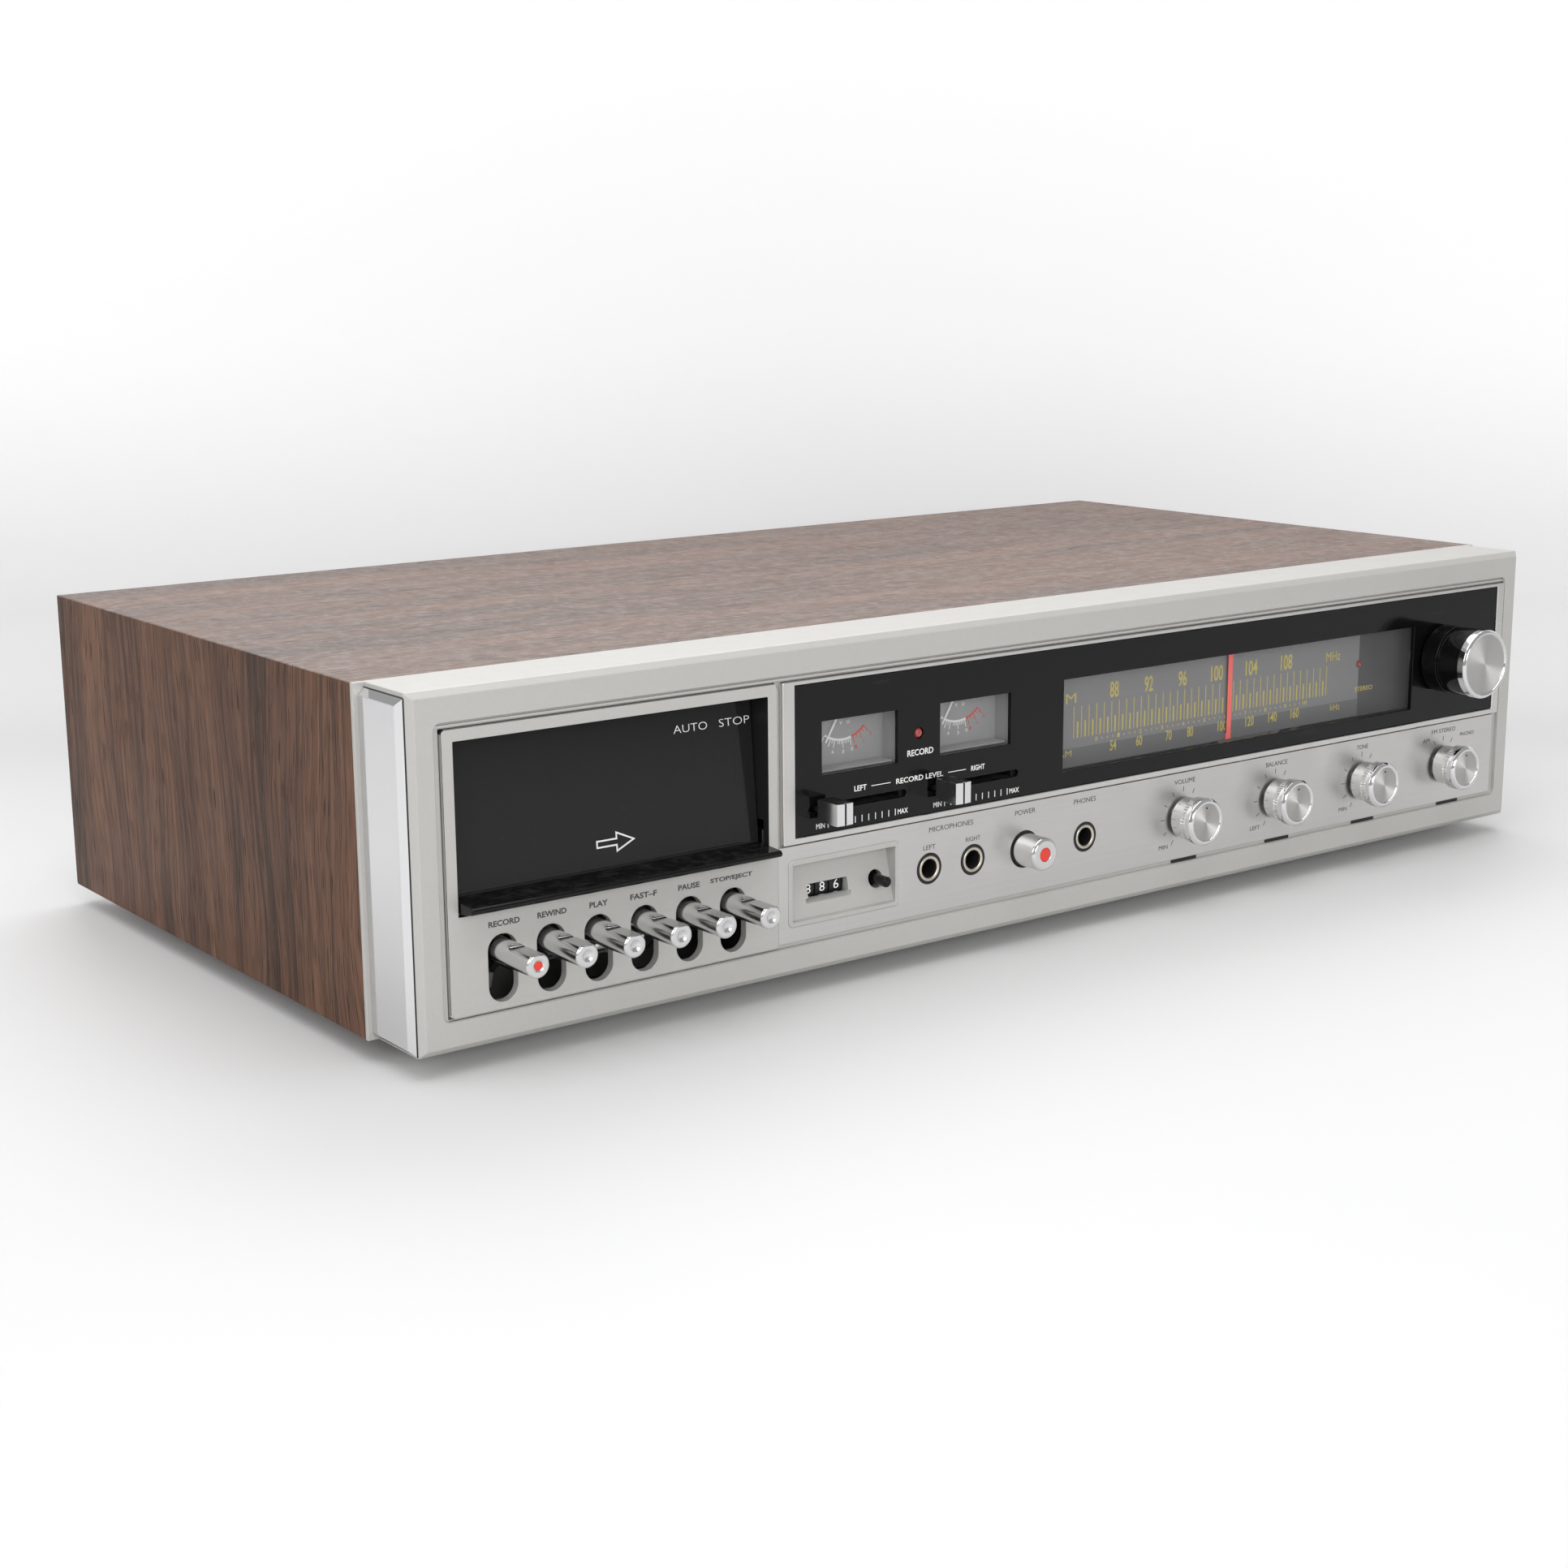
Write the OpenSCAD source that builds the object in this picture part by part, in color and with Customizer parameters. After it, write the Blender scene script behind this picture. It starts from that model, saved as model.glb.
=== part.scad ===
// Radio cassette recorder for a shelf: a wood-grain sleeve closed by a moulded bezel, with a
// cassette deck at the left, level meters and a tuner dial at the right, and a brushed
// control strip below the dial.
// Millimetres. X runs right as seen from the front, Y runs back and Z runs up.
// Modules draw in the cabinet's frame: Y = 0 is the front face and Z = 0 the bezel's underside.

/* [Cabinet] */
// Width of the wood-grain sleeve
body_w = 503.4; // [502:0.2:530]
// Height of the sleeve and the bezel, feet left out
body_h = 107; // [106:0.5:120]
// Depth from the front face to the rear edge of the sleeve
body_d = 254.5; // [240:0.5:300]
// Thickness of the sleeve's boards
board_t = 10; // [6:0.5:10]
// Height of the feet below the bezel
foot_h = 7; // [4:0.5:14]
// Diameter of a foot where it stands
foot_d = 20; // [14:1:24]
// Distance from a foot's centre to the outer side of the sleeve
foot_inset = 46; // [30:1:60]
// Thickness of the steel pan and of the steel rear panel
sheet_t = 1; // [0.8:0.1:1.5]
// Depth of the rear panel inside the sleeve
rear_recess = 7; // [4:0.5:12]

/* [Bezel] */
// Depth of the moulded bezel
bezel_d = 27; // [26:0.5:34]
// Wall of the moulded bezel
bezel_wall = 3; // [2.5:0.1:3]
// Chamfer round the front of the bezel
bezel_chamfer = 2; // [1:0.1:2.5]
// Thickness of the rim that covers the sleeve's front edge
rim_t = 1.5; // [1:0.1:2.5]
// How far the rim stands out beyond the chrome end trims
rim_step = 1.7; // [0.5:0.1:2]
// Thickness of a chrome end trim
trim_t = 2; // [1.5:0.1:3]
// Height left bare above a chrome end trim
trim_drop = 1.6; // [1:0.1:3]
// Width of the bezel's face beside the recess that holds the plates
face_side = 8; // [6:0.1:8.5]
// Height of the bezel's face below and above that recess
face_foot = 9.4; // [8.5:0.1:9.6]
face_head = 9.6; // [8:0.1:10]
// Depth of the shallow step round the plates in the recess
step_d = 1.2; // [0.6:0.1:1.5]
// Back of the bezel's face behind the dial and the control strip
backing_y = 5; // [4:0.1:6]
// Gap left all round a plate that sits in the recess
plate_gap = 0.25; // [0.15:0.05:0.4]

/* [Deck panel and door] */
// Gap from the recess to the deck panel at its left, at its foot and at its head
deck_gap = 2.35; // [2:0.05:2.6]
deck_foot_gap = 0.9; // [0.6:0.1:1.2]
deck_head_gap = 2.1; // [1.5:0.1:2.4]
// Width of the deck panel beside the door opening
deck_side = 3.6; // [3.4:0.1:4.2]
// Thickness of the deck panel
deck_t = 3; // [2.5:0.1:3]
// Width of the door opening beside the bay that takes the cassette
door_side = 4.55; // [4.2:0.05:4.7]
// Lowest level of the door opening, and the panel's height above it
door_z0 = 40.3; // [40:0.1:40.6]
door_head = 3.7; // [3.2:0.1:4]
// Gap round the door in its opening
door_gap = 0.35; // [0.25:0.05:0.6]
// Depth of the window face at its foot and at its head
window_y0 = 5; // [4.5:0.1:5.5]
window_y1 = 9; // [8.5:0.1:9.5]
// Thickness of the window
window_t = 2.5; // [2:0.1:2.5]
// Level of the finger lip's top and its thickness
lip_z = 46.5; // [46:0.1:47]
lip_t = 4.3; // [3.5:0.1:4.4]
// How far the finger lip stands out of the panel
lip_out = 7.5; // [5:0.1:9]
// Door hinge axis
hinge_y = 8; // [7.8:0.1:8.2]
hinge_z = 30; // [29.5:0.1:30.5]
// Diameter of a hinge pin
hinge_pin_d = 3; // [2.5:0.1:3.5]
// Thickness of a door arm
arm_t = 3; // [2:0.1:3]
// Radial clearance of a pin or shaft that turns in its bore
run_gap = 0.05; // [0.03:0.01:0.08]

/* [Cassette bay] */
// Clear width, depth and floor level of the bay that takes the cassette
bay_w = 101.6; // [101:0.1:102]
bay_y0 = 14; // [13.9:0.1:14.2]
bay_d = 12.2; // [12:0.1:12.2]
bay_z = 26; // [25.8:0.1:26.4]
// How far the carrier's side rails end below the head of the door
rail_drop = 11.6; // [10:0.1:20]
// Distance between the two reel spindles
reel_pitch = 42.5; // [42.5:0.1:42.6]
// Height of the reel spindles above the floor of the bay
reel_rise = 29.5; // [29:0.1:30]

/* [Transport] */
// Front of the steel chassis plate and the thickness of its steel
chassis_y = 28; // [28:0.1:28.5]
chassis_t = 1.5; // [1.2:0.1:1.5]
// Back of the chassis
chassis_y1 = 71.5; // [71:0.5:80]
// Lift of the head slide in play
head_lift = 7; // [5:0.5:7]
// Radius of the pinch roller
pinch_r = 6; // [5.5:0.1:6]
// Radius of the capstan shaft
capstan_r = 1.25; // [1:0.05:1.3]
// Radius and thickness of the flywheel
flywheel_r = 27; // [22:0.5:28]
flywheel_t = 8; // [5:0.5:8]
// Radius and length of the motor
motor_r = 15; // [13:0.5:15]
motor_l = 28; // [22:0.5:30]
// Radius of the belt's seat on the motor pulley
motor_pulley_r = 5; // [4:0.1:7]
// Width and thickness of the drive belt
belt_w = 3; // [2:0.5:4]
belt_t = 0.9; // [0.8:0.1:1.2]

/* [Keys] */
// Distance between neighbouring keys
key_pitch = 16.5; // [16.3:0.1:16.7]
// Diameter of a key's rod
key_d = 7.6; // [7:0.1:7.8]
// Level of the rods at rest
key_z = 28; // [27.8:0.1:28.2]
// How far the rods stand out of the panel
key_out = 20; // [16:0.5:24]
// Width of a key slot and its lowest and highest level
slot_w = 9.8; // [9.4:0.1:10.2]
slot_z0 = 12.5; // [12:0.1:13]
slot_z1 = 33.1; // [32.8:0.1:33.4]
// Axis of the shaft that the keys turn on, and the shaft's diameter
key_axis_y = 54; // [53:0.5:54]
key_axis_z = 18; // [17.5:0.1:18.5]
key_shaft_d = 4; // [3:0.1:4.5]
// Thickness of a key's arm
key_arm_t = 3; // [2:0.1:3.2]
// Width of a key's hub on the shaft
key_hub_w = 8; // [6:0.5:9]

/* [Dial] */
// Gap from the deck panel to the silver frame, and from the frame to the recess at its right
frame_gap = 2.05; // [1.8:0.05:2.3]
frame_end_gap = 0.4; // [0.3:0.1:0.8]
// Lowest level of the silver frame
frame_z0 = 43; // [43:0.1:43.4]
// Thickness of the silver frame
frame_t = 2; // [1.6:0.1:2.2]
// Width of the silver frame at its left, its right, its foot and its head
frame_left = 4.8; // [4:0.1:5]
frame_right = 4.1; // [3.8:0.1:4.5]
frame_foot = 2; // [1.8:0.1:2.2]
frame_head = 1.3; // [1.1:0.1:1.5]
// How far the black panel lies behind the front of the frame
panel_sink = 0.4; // [0.2:0.1:0.6]
// Thickness of the smoked lens behind the panel
lens_t = 1; // [0.8:0.1:1.2]
// Distance from the right meter's centre to the dial window, and from the window to the tuning shaft
dial_inset = 39.7; // [39:0.1:41]
dial_end = 15.5; // [14.6:0.1:17]
// Height of the black panel below and above the dial window
dial_foot = 5.6; // [5:0.1:7]
dial_head = 11.2; // [11:0.1:12]
// Front of the scale plate and its thickness
scale_y = 10; // [9.8:0.1:11]
scale_t = 1.2; // [1:0.1:1.5]
// Distance of the pointer at rest from the left end of the dial window
pointer_at = 91; // [60:0.1:115]
// Width of the pointer
pointer_w = 2.4; // [1.5:0.1:3]
// Place of the tuning shaft, from the panel's right end and from its head
tuning_inset = 34; // [32.5:0.1:35.5]
tuning_drop = 24.6; // [24:0.1:25]
// Diameter of the tuning shaft and the radius of its cord spindle
tuning_shaft_d = 6; // [5:0.1:6]
spindle_r = 4; // [3.5:0.1:5]
// Radius and length of the tuning knob
tuning_knob_r = 13.2; // [11:0.1:14]
tuning_knob_l = 21; // [16:0.5:24]
// Radius of the flywheel on the tuning shaft
tuner_wheel_r = 14; // [10:0.5:18]
// Distance between the cord drum's shaft and the tuning shaft
drum_inset = 91.5; // [81.5:0.5:106.5]
// Distance from the cord drum to the panel's head and to the row of shafts on the strip
drum_head = 3; // [2.5:0.1:4]
drum_clear = 14.7; // [14.7:0.1:19]
// Centre plane of the dial cord and the cord's thickness
cord_y = 16; // [15.8:0.1:17]
cord_t = 0.8; // [0.6:0.1:1]

/* [Meters and level controls] */
// Centre of the left meter from the panel's left end, the distance to the right one, their width
meter_inset = 26.4; // [25.9:0.1:26.9]
meter_pitch = 49; // [48.5:0.1:49.5]
meter_w = 31; // [29:0.1:31.5]
// Foot of a meter's window above the level controls, and its head below the panel's head
meter_rise = 10.4; // [10.1:0.1:11.1]
meter_drop = 12.8; // [12.5:0.1:13.5]
// Height of a needle's pivot above the window, and the end of the needle above the window's foot
needle_rise = 3.7; // [3.3:0.1:4]
needle_end = 6.1; // [5:0.1:8]
// Angle of a needle at rest
needle_rest = 31.6; // [28:0.1:34]
// Front of the meter's printed face
meter_face_y = 9.8; // [9.5:0.1:11]
// Diameter of the record lamp
lamp_d = 3.5; // [3:0.1:4]
// Travel of a level control
slider_travel = 30; // [20:1:30]
// Level of the slots and their height
slider_z = 53.4; // [53.2:0.1:53.6]
slider_slot_h = 2.4; // [2:0.1:3]
// Width, height and reach of a level control's cap
slider_cap = [6.4, 7.1, 12]; // [4:0.1:16]

/* [Control strip] */
// How far the brushed strip starts left of the silver frame, and ends short of it at the right
strip_lead = 1.8; // [1.6:0.1:1.9]
strip_short = 2.6; // [2.4:0.1:3.6]
// Gap from the recess to the strip's foot, and from the strip's head to the silver frame
strip_foot_gap = 1.7; // [1.6:0.1:2.1]
strip_head_gap = 0.4; // [0.3:0.1:1]
// Front of the strip and its thickness
strip_y = 0.4; // [0.2:0.1:0.6]
strip_t = 1.2; // [0.8:0.1:1.4]
// Level of all shafts and sockets on the strip
row_z = 26.3; // [26:0.1:26.6]
// Distance of the last rotary control from the strip's right end
knob_inset = 30.2; // [28:0.1:32]
// Radius and length of a rotary knob
knob_r = 8.6; // [7.5:0.1:9.5]
knob_l = 10.7; // [9:0.1:14]
// Number of flutes round a rotary knob
knob_flutes = 44; // [24:2:60]
// Diameter of a control's shaft
control_shaft_d = 6; // [5:0.1:6]
// Places of the microphone and headphone sockets, from the strip's left end
mic_at = [62.1, 81.2]; // [58:0.1:84]
phones_at = 132.8; // [130:0.1:136]
// Plug hole of a socket, its metal bush and the hole in the strip
jack_bore_d = 6.5; // [6.4:0.1:6.6]
jack_bush_d = 8.4; // [8:0.1:9]
jack_hole_d = 10.6; // [10:0.1:11]
// Place of the power button from the strip's left end, its diameter, reach and travel
power_at = 104.6; // [103:0.1:106]
power_d = 11.4; // [10:0.1:12]
power_out = 10; // [8:0.5:12]
power_travel = 4; // [2:0.5:4]

/* [Tape counter] */
// Place of the counter's dish from the strip's left end, and its width
counter_at = 3.8; // [3.5:0.1:4.2]
counter_w = 45.5; // [44:0.1:46]
// Height of the strip below and above the dish
counter_foot = 4.9; // [4.4:0.1:5.4]
counter_head = 4.6; // [4.4:0.1:5.1]
// Radius of the dish's corners
counter_r = 1.8; // [1:0.1:2.5]
// Depth of the sloping floor at its head and at its foot
dish_y1 = 5.6; // [5:0.1:5.8]
dish_y0 = 1.6; // [1:0.1:2.5]
// Centre of the figure window from the dish's left end and below the row of shafts, and its size
figure_at = 18.2; // [17.7:0.1:18.7]
figure_drop = 0.7; // [0:0.1:1.3]
figure_w = 16.4; // [15:0.1:17]
figure_h = 5; // [4:0.1:5.5]
// Radius, width and distance of the figure wheels
wheel_r = 7; // [6:0.1:7.2]
wheel_w = 5.3; // [4.5:0.1:5.4]
wheel_pitch = 5.7; // [5.5:0.1:5.8]
// Centre of the reset button from the dish's right end, and its diameter
reset_at = 7.6; // [7:0.1:8.8]
reset_d = 3.6; // [3:0.1:4]
// Diameter of the hole round the reset button
reset_hole_d = 5.8; // [5:0.1:6]

/* [Electronics] */
// Level and thickness of the main circuit board
board_z = 40; // [39:0.5:42]
pcb_t = 1.6; // [1.2:0.1:2]
// Width, depth and height of the mains transformer's core
core_w = 54; // [45:1:60]
core_d = 34; // [28:1:40]
core_h = 46; // [40:1:56]
// Radius of a phono socket's barrel and of the mains lead's bush
phono_r = 4.15; // [4.1:0.05:4.2]
lead_r = 3.6; // [3:0.1:4]
// Places of the phono sockets: the first column, the lower row and the distances between them
phono_x = 70; // [60:1:80]
phono_z = 42; // [40:1:44]
phono_pitch = [22, 17]; // [14:1:24]
// Width, height and depth of the aerial terminals' block, its level and its distance from the panel's end
aerial_size = [52, 14, 2.5]; // [2:0.5:60]
aerial_z = 38; // [30:1:60]
aerial_inset = 13.4; // [5:0.1:30]
// Width, depth and height of the tuning capacitor, and its front
capacitor_size = [36, 38, 38]; // [25:1:45]
capacitor_y = 24; // [24:0.5:28]

/* [Hidden] */
$fn = 48;
far = 400;
eps = 0.01;
seat_gap = 0.3;

// Cabinet
bezel_w = body_w - 2 * rim_step - 2 * trim_t;
recess_w = bezel_w - 2 * face_side;
recess_z0 = face_foot;
recess_z1 = body_h - face_head;
inner_w = body_w - 2 * board_t;
inner_z1 = body_h - board_t;
pan_z = bezel_wall;
floor_z = pan_z + sheet_t;
pan_w = inner_w - 2 * seat_gap;
rear_y = body_d - rear_recess;
front_out = max(key_out, tuning_knob_l + 1, power_out);
middle_y = (body_d - front_out) / 2;

// Deck
door_open_w = bay_w + 2 * door_side;
deck_w = door_open_w + 2 * deck_side;
deck_x0 = -recess_w / 2 + deck_gap;
deck_x = deck_x0 + deck_w / 2;
deck_z0 = recess_z0 + deck_foot_gap;
deck_z1 = recess_z1 - deck_head_gap;
door_z1 = deck_z1 - door_head;
rail_z1 = door_z1 - rail_drop;
key_count = 6;
key_x0 = -(key_count - 1) * key_pitch / 2;
flange_x = deck_w / 2 - plate_gap;
rail_x = bay_w / 2;
rail_t = 1.5;
bay_y1 = bay_y0 + bay_d;
reel_z = bay_z + reel_rise;
pinch_x = key_pitch;
pinch_z = bay_z - 1 - pinch_r;
capstan_z = pinch_z + pinch_r + head_lift + capstan_r + seat_gap;
slide_t = 1.2;
slide_y0 = chassis_y - seat_gap - slide_t;
motor_x = -flange_x + chassis_t + 0.5 + motor_r;
motor_z = deck_z1 - 0.8 - motor_r;
motor_y0 = chassis_y + chassis_t;
flywheel_y = key_axis_y + 6;
belt_y = flywheel_y + flywheel_t / 2;

// Dial
frame_x0 = deck_x0 + deck_w + frame_gap;
frame_x1 = recess_w / 2 - frame_end_gap;
frame_z1 = deck_z1;
panel_x0 = frame_x0 + frame_left;
panel_x1 = frame_x1 - frame_right;
panel_z0 = frame_z0 + frame_foot;
panel_z1 = frame_z1 - frame_head;
tuning_x = panel_x1 - tuning_inset;
tuning_z = panel_z1 - tuning_drop;
meter_x = panel_x0 + meter_inset;
meter_z0 = slider_z + meter_rise;
meter_z1 = panel_z1 - meter_drop;
needle_z = meter_z1 + needle_rise;
needle_l = needle_z - meter_z0 - needle_end;
dial_x0 = meter_x + meter_pitch + dial_inset;
dial_x1 = tuning_x - dial_end;
dial_z0 = panel_z0 + dial_foot;
dial_z1 = panel_z1 - dial_head;
pointer_x = dial_x0 + pointer_at;
drum_x = tuning_x - drum_inset;
drum_r = (panel_z1 - drum_head - row_z - drum_clear) / 2;
drum_z = panel_z1 - drum_head - drum_r;
stereo_x = dial_x1 - 20.5;
lens_y0 = frame_t;
lens_y1 = lens_y0 + lens_t;
ledge = 3;
scale_x0 = dial_x0 - 2.2;
scale_x1 = tuning_x + 13.5;
scale_z0 = panel_z0 + 1;
scale_z1 = drum_z + drum_r - 0.5;
idler_r = 4;
idler_z = drum_z + drum_r - idler_r;
cord_gap = 0.25;
cord_top = drum_z + drum_r + cord_gap + cord_t;
slider_x = meter_x - slider_travel / 2 - 0.8;
slot_end = 5;

// Control strip
strip_x0 = frame_x0 - strip_lead;
strip_x1 = frame_x1 - strip_short;
strip_z0 = recess_z0 + strip_foot_gap;
strip_z1 = frame_z0 - strip_head_gap;
mic_x = [strip_x0 + mic_at[0], strip_x0 + mic_at[1]];
power_x = strip_x0 + power_at;
phones_x = strip_x0 + phones_at;
knob_pitch = (strip_x1 - knob_inset - phones_x) / 4;
knob_x = phones_x + knob_pitch;
counter_x0 = strip_x0 + counter_at;
counter_x1 = counter_x0 + counter_w;
counter_z0 = strip_z0 + counter_foot;
counter_z1 = strip_z1 - counter_head;
figure_x = counter_x0 + figure_at;
figure_z = row_z - figure_drop;
reset_x = counter_x1 - reset_at;
strip_y1 = strip_y + strip_t;
bush_r = control_shaft_d / 2 + 1.5;
pot_r = 11.5;
pot_l = 11;
power_hole_r = power_d / 2 + 0.8;
wheel_y = dish_y1 + 0.9 + wheel_r;
axle_r = 1;

// Electronics
core_x = -62;
core_y = rear_y - 30 - core_d;
aerial_x = pan_w / 2 - aerial_inset - aerial_size[0];

// Moves a piece from the cabinet's frame to the part's own, centred over the footprint.
module placed() { translate([0, -middle_y, foot_h]) children(); }

// Extrusions of an outline: X and Z for a plate, Y and Z for a profile, X and Y for a slab.
module plate(y0, y1) { translate([0, y1, 0]) rotate([90, 0, 0]) linear_extrude(y1 - y0) children(); }
module profile(x0, x1) { translate([x0, 0, 0]) rotate([90, 0, 90]) linear_extrude(x1 - x0) children(); }
module slab(z0, z1) { translate([0, 0, z0]) linear_extrude(z1 - z0) children(); }

// Rectangle between two corners, with sharp or round corners.
module rect(x0, z0, x1, z1) { translate([x0, z0]) square([x1 - x0, z1 - z0]); }
module round_rect(x0, z0, x1, z1, r) {
    rect(x0 + r, z0, x1 - r, z1);
    rect(x0, z0 + r, x1, z1 - r);
    for (x = [x0 + r, x1 - r], z = [z0 + r, z1 - r]) translate([x, z]) circle(r);
}
module box(x0, y0, z0, x1, y1, z1) { translate([x0, y0, z0]) cube([x1 - x0, y1 - y0, z1 - z0]); }

// Round bars along Y and X, and a shape turned about an axis along Y or X: its outline gives
// the radius first and then the place along the axis.
module bar_y(x, z, r, y0, y1) { translate([x, y0, z]) rotate([-90, 0, 0]) cylinder(r = r, h = y1 - y0); }
module bar_x(y, z, r, x0, x1) { translate([x0, y, z]) rotate([0, 90, 0]) cylinder(r = r, h = x1 - x0); }
module turned_y(x, z) { translate([x, 0, z]) rotate([-90, 0, 0]) rotate_extrude() children(); }
module turned_x(y, z) { translate([0, y, z]) rotate([0, 90, 0]) rotate_extrude() children(); }

// Cabinet pieces

module cabinet_sleeve() {
    half = body_w / 2;
    color("saddlebrown") placed() plate(bezel_d, body_d) difference() {
        rect(-half, 0, half, body_h);
        rect(-half + board_t, -1, half - board_t, inner_z1);
    }
}

module bottom_pan() {
    half = pan_w / 2;
    y0 = backing_y + 0.5;
    y1 = rear_y;
    flange_h = 11;
    color("silver") placed() {
        difference() {
            union() {
                box(-half, y0, pan_z, half, y1, floor_z);
                box(-half, y1 - sheet_t, floor_z - eps, half, y1, floor_z + flange_h);
                for (s = [-1, 1]) {
                    x = s * (half - sheet_t / 2);
                    box(x - sheet_t / 2, bezel_d + 3, floor_z - eps, x + sheet_t / 2, y1 - 6, floor_z + flange_h);
                }
                for (x = board_posts_x(), y = board_posts_y()) {
                    translate([x, y, floor_z - eps]) cylinder(d = 6, h = board_z - floor_z + eps);
                }
            }
            // Cooling slots under the transformer
            for (i = [-2:2]) {
                slab(pan_z - 1, floor_z + 1) translate([core_x + 10 * i - 2, core_y - 6]) square([4, core_d + 12]);
            }
        }
    }
}

module rear_panel() {
    half = pan_w / 2;
    z1 = inner_z1 - seat_gap;
    color("dimgray") placed() plate(rear_y, rear_y + sheet_t) difference() {
        rect(-half, pan_z, half, z1);
        // Cooling slots above the transformer
        for (i = [0:11]) translate([core_x - 40 + 7 * i, z1 - 32]) round_rect(0, 0, 3, 22, 1.4);
        for (p = phono_places()) translate(p) circle(phono_r + 0.85);
        translate([lead_x(), lead_z()]) circle(lead_r + 2.4);
    }
}

// Bezel: a block chamfered at the front, hollow behind, with a recess for the front plates.
module front_bezel() {
    half = bezel_w / 2;
    c = bezel_chamfer;
    back = backing_y;
    color("lightgray") placed() difference() {
        union() {
            intersection() {
                slab(0, body_h) polygon([
                    [-half + c, 0], [half - c, 0], [half, c], [half, bezel_d], [-half, bezel_d], [-half, c]
                ]);
                profile(-half, half) polygon([
                    [c, 0], [bezel_d, 0], [bezel_d, body_h], [c, body_h], [0, body_h - c], [0, c]
                ]);
            }
            box(-body_w / 2, bezel_d - rim_t, 0, body_w / 2, bezel_d, body_h);
        }
        // Hollow behind the face, stepped where the dial and the strip need backing
        difference() {
            box(-half + bezel_wall, bezel_wall, bezel_wall, half - bezel_wall, far, body_h - bezel_wall);
            box(deck_x + deck_w / 2, 0, 0, half, back, body_h);
        }
        // The shallow step round the plates
        plate(-1, step_d) round_rect(-recess_w / 2, recess_z0, recess_w / 2, recess_z1, 2.5);
        // The deck's opening
        plate(-1, far) rect(
            deck_x - deck_w / 2 - plate_gap, deck_z0 - plate_gap,
            deck_x + deck_w / 2 + plate_gap, deck_z1 + plate_gap
        );
        // Seats of the dial frame and of the control strip
        plate(-1, frame_t) rect(
            frame_x0 - 1.9, frame_z0 - plate_gap, frame_x1 + plate_gap, frame_z1 + plate_gap
        );
        plate(-1, strip_y1) rect(
            strip_x0 - plate_gap, strip_z0 - plate_gap, strip_x1 + plate_gap, strip_z1 + plate_gap
        );
        // Opening behind the dial panel
        plate(-1, far) rect(panel_x0 + ledge, panel_z0 + ledge, panel_x1 - ledge, panel_z1 - ledge);
        // Holes behind the control strip
        plate(-1, far) strip_holes(seat_gap);
    }
}

// Holes for what passes through the strip, each larger by g all round.
module strip_holes(g) {
    round_rect(counter_x0 - g, counter_z0 - g, counter_x1 + g, counter_z1 + g, counter_r + g);
    for (x = concat(mic_x, [phones_x])) translate([x, row_z]) circle(d = jack_hole_d + 2 * g);
    translate([power_x, row_z]) circle(power_hole_r + g);
    for (i = [0:3]) translate([knob_x + i * knob_pitch, row_z]) circle(bush_r + seat_gap + g);
}

// Chrome end plates with a bevel along the front, the top and the bottom.
module side_trims() {
    x0 = bezel_w / 2;
    x1 = x0 + trim_t;
    y0 = bezel_chamfer;
    y1 = bezel_d - rim_t;
    z0 = 0.4;
    z1 = body_h - trim_drop;
    color("gainsboro") placed() for (s = [0, 1]) mirror([s, 0, 0]) intersection() {
        slab(z0, z1) polygon([[x0, y0], [x1, y0 + trim_t], [x1, y1], [x0, y1]]);
        plate(y0, y1) polygon([[x0, z0], [x1, z0 + trim_t], [x1, z1 - trim_t], [x0, z1]]);
    }
}

module feet() {
    x = body_w / 2 - foot_inset;
    ys = [bezel_d + 18, rear_y - 26];
    color([0.12, 0.12, 0.12]) placed() for (s = [-1, 1], y = ys) translate([s * x, y, 0]) rotate_extrude() {
        polygon([
            [0, -foot_h], [foot_d / 2 - 1, -foot_h], [foot_d / 2, -foot_h + 1],
            [foot_d / 2 + 2, pan_z - 1], [foot_d / 2 + 2, pan_z], [0, pan_z]
        ]);
    }
}

// Deck panel: the plate that holds the door and the keys.
module deck_panel() {
    x0 = deck_x - deck_w / 2;
    x1 = deck_x + deck_w / 2;
    ox = door_open_w / 2;
    lip = 2;
    wall = 1.2;
    color("lightgray") placed() {
        difference() {
            union() {
                plate(0, deck_t) round_rect(x0, deck_z0, x1, deck_z1, 1.2);
                // Flange behind the bezel's face, at the left, the top and the foot
                plate(deck_t, deck_t + 1.5) difference() {
                    rect(x0 - lip, deck_z0 - lip, x1 - 1, deck_z1 + lip);
                    rect(x0 + lip, deck_z0 + lip, far, deck_z1 - lip);
                }
                // Reveal round the head and the sides of the door opening
                plate(deck_t, window_y1 + 1) difference() {
                    rect(deck_x - ox - wall, hinge_z + 22, deck_x + ox + wall, door_z1 + wall);
                    rect(deck_x - ox, 0, deck_x + ox, door_z1);
                }
            }
            plate(-1, far) rect(deck_x - ox, door_z0, deck_x + ox, door_z1);
            for (i = [0:key_count - 1]) translate([key_place(i), 0, 0]) plate(-1, far) {
                round_rect(-slot_w / 2, slot_z0, slot_w / 2, slot_z1, slot_w / 2 - eps);
            }
        }
    }
}

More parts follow.
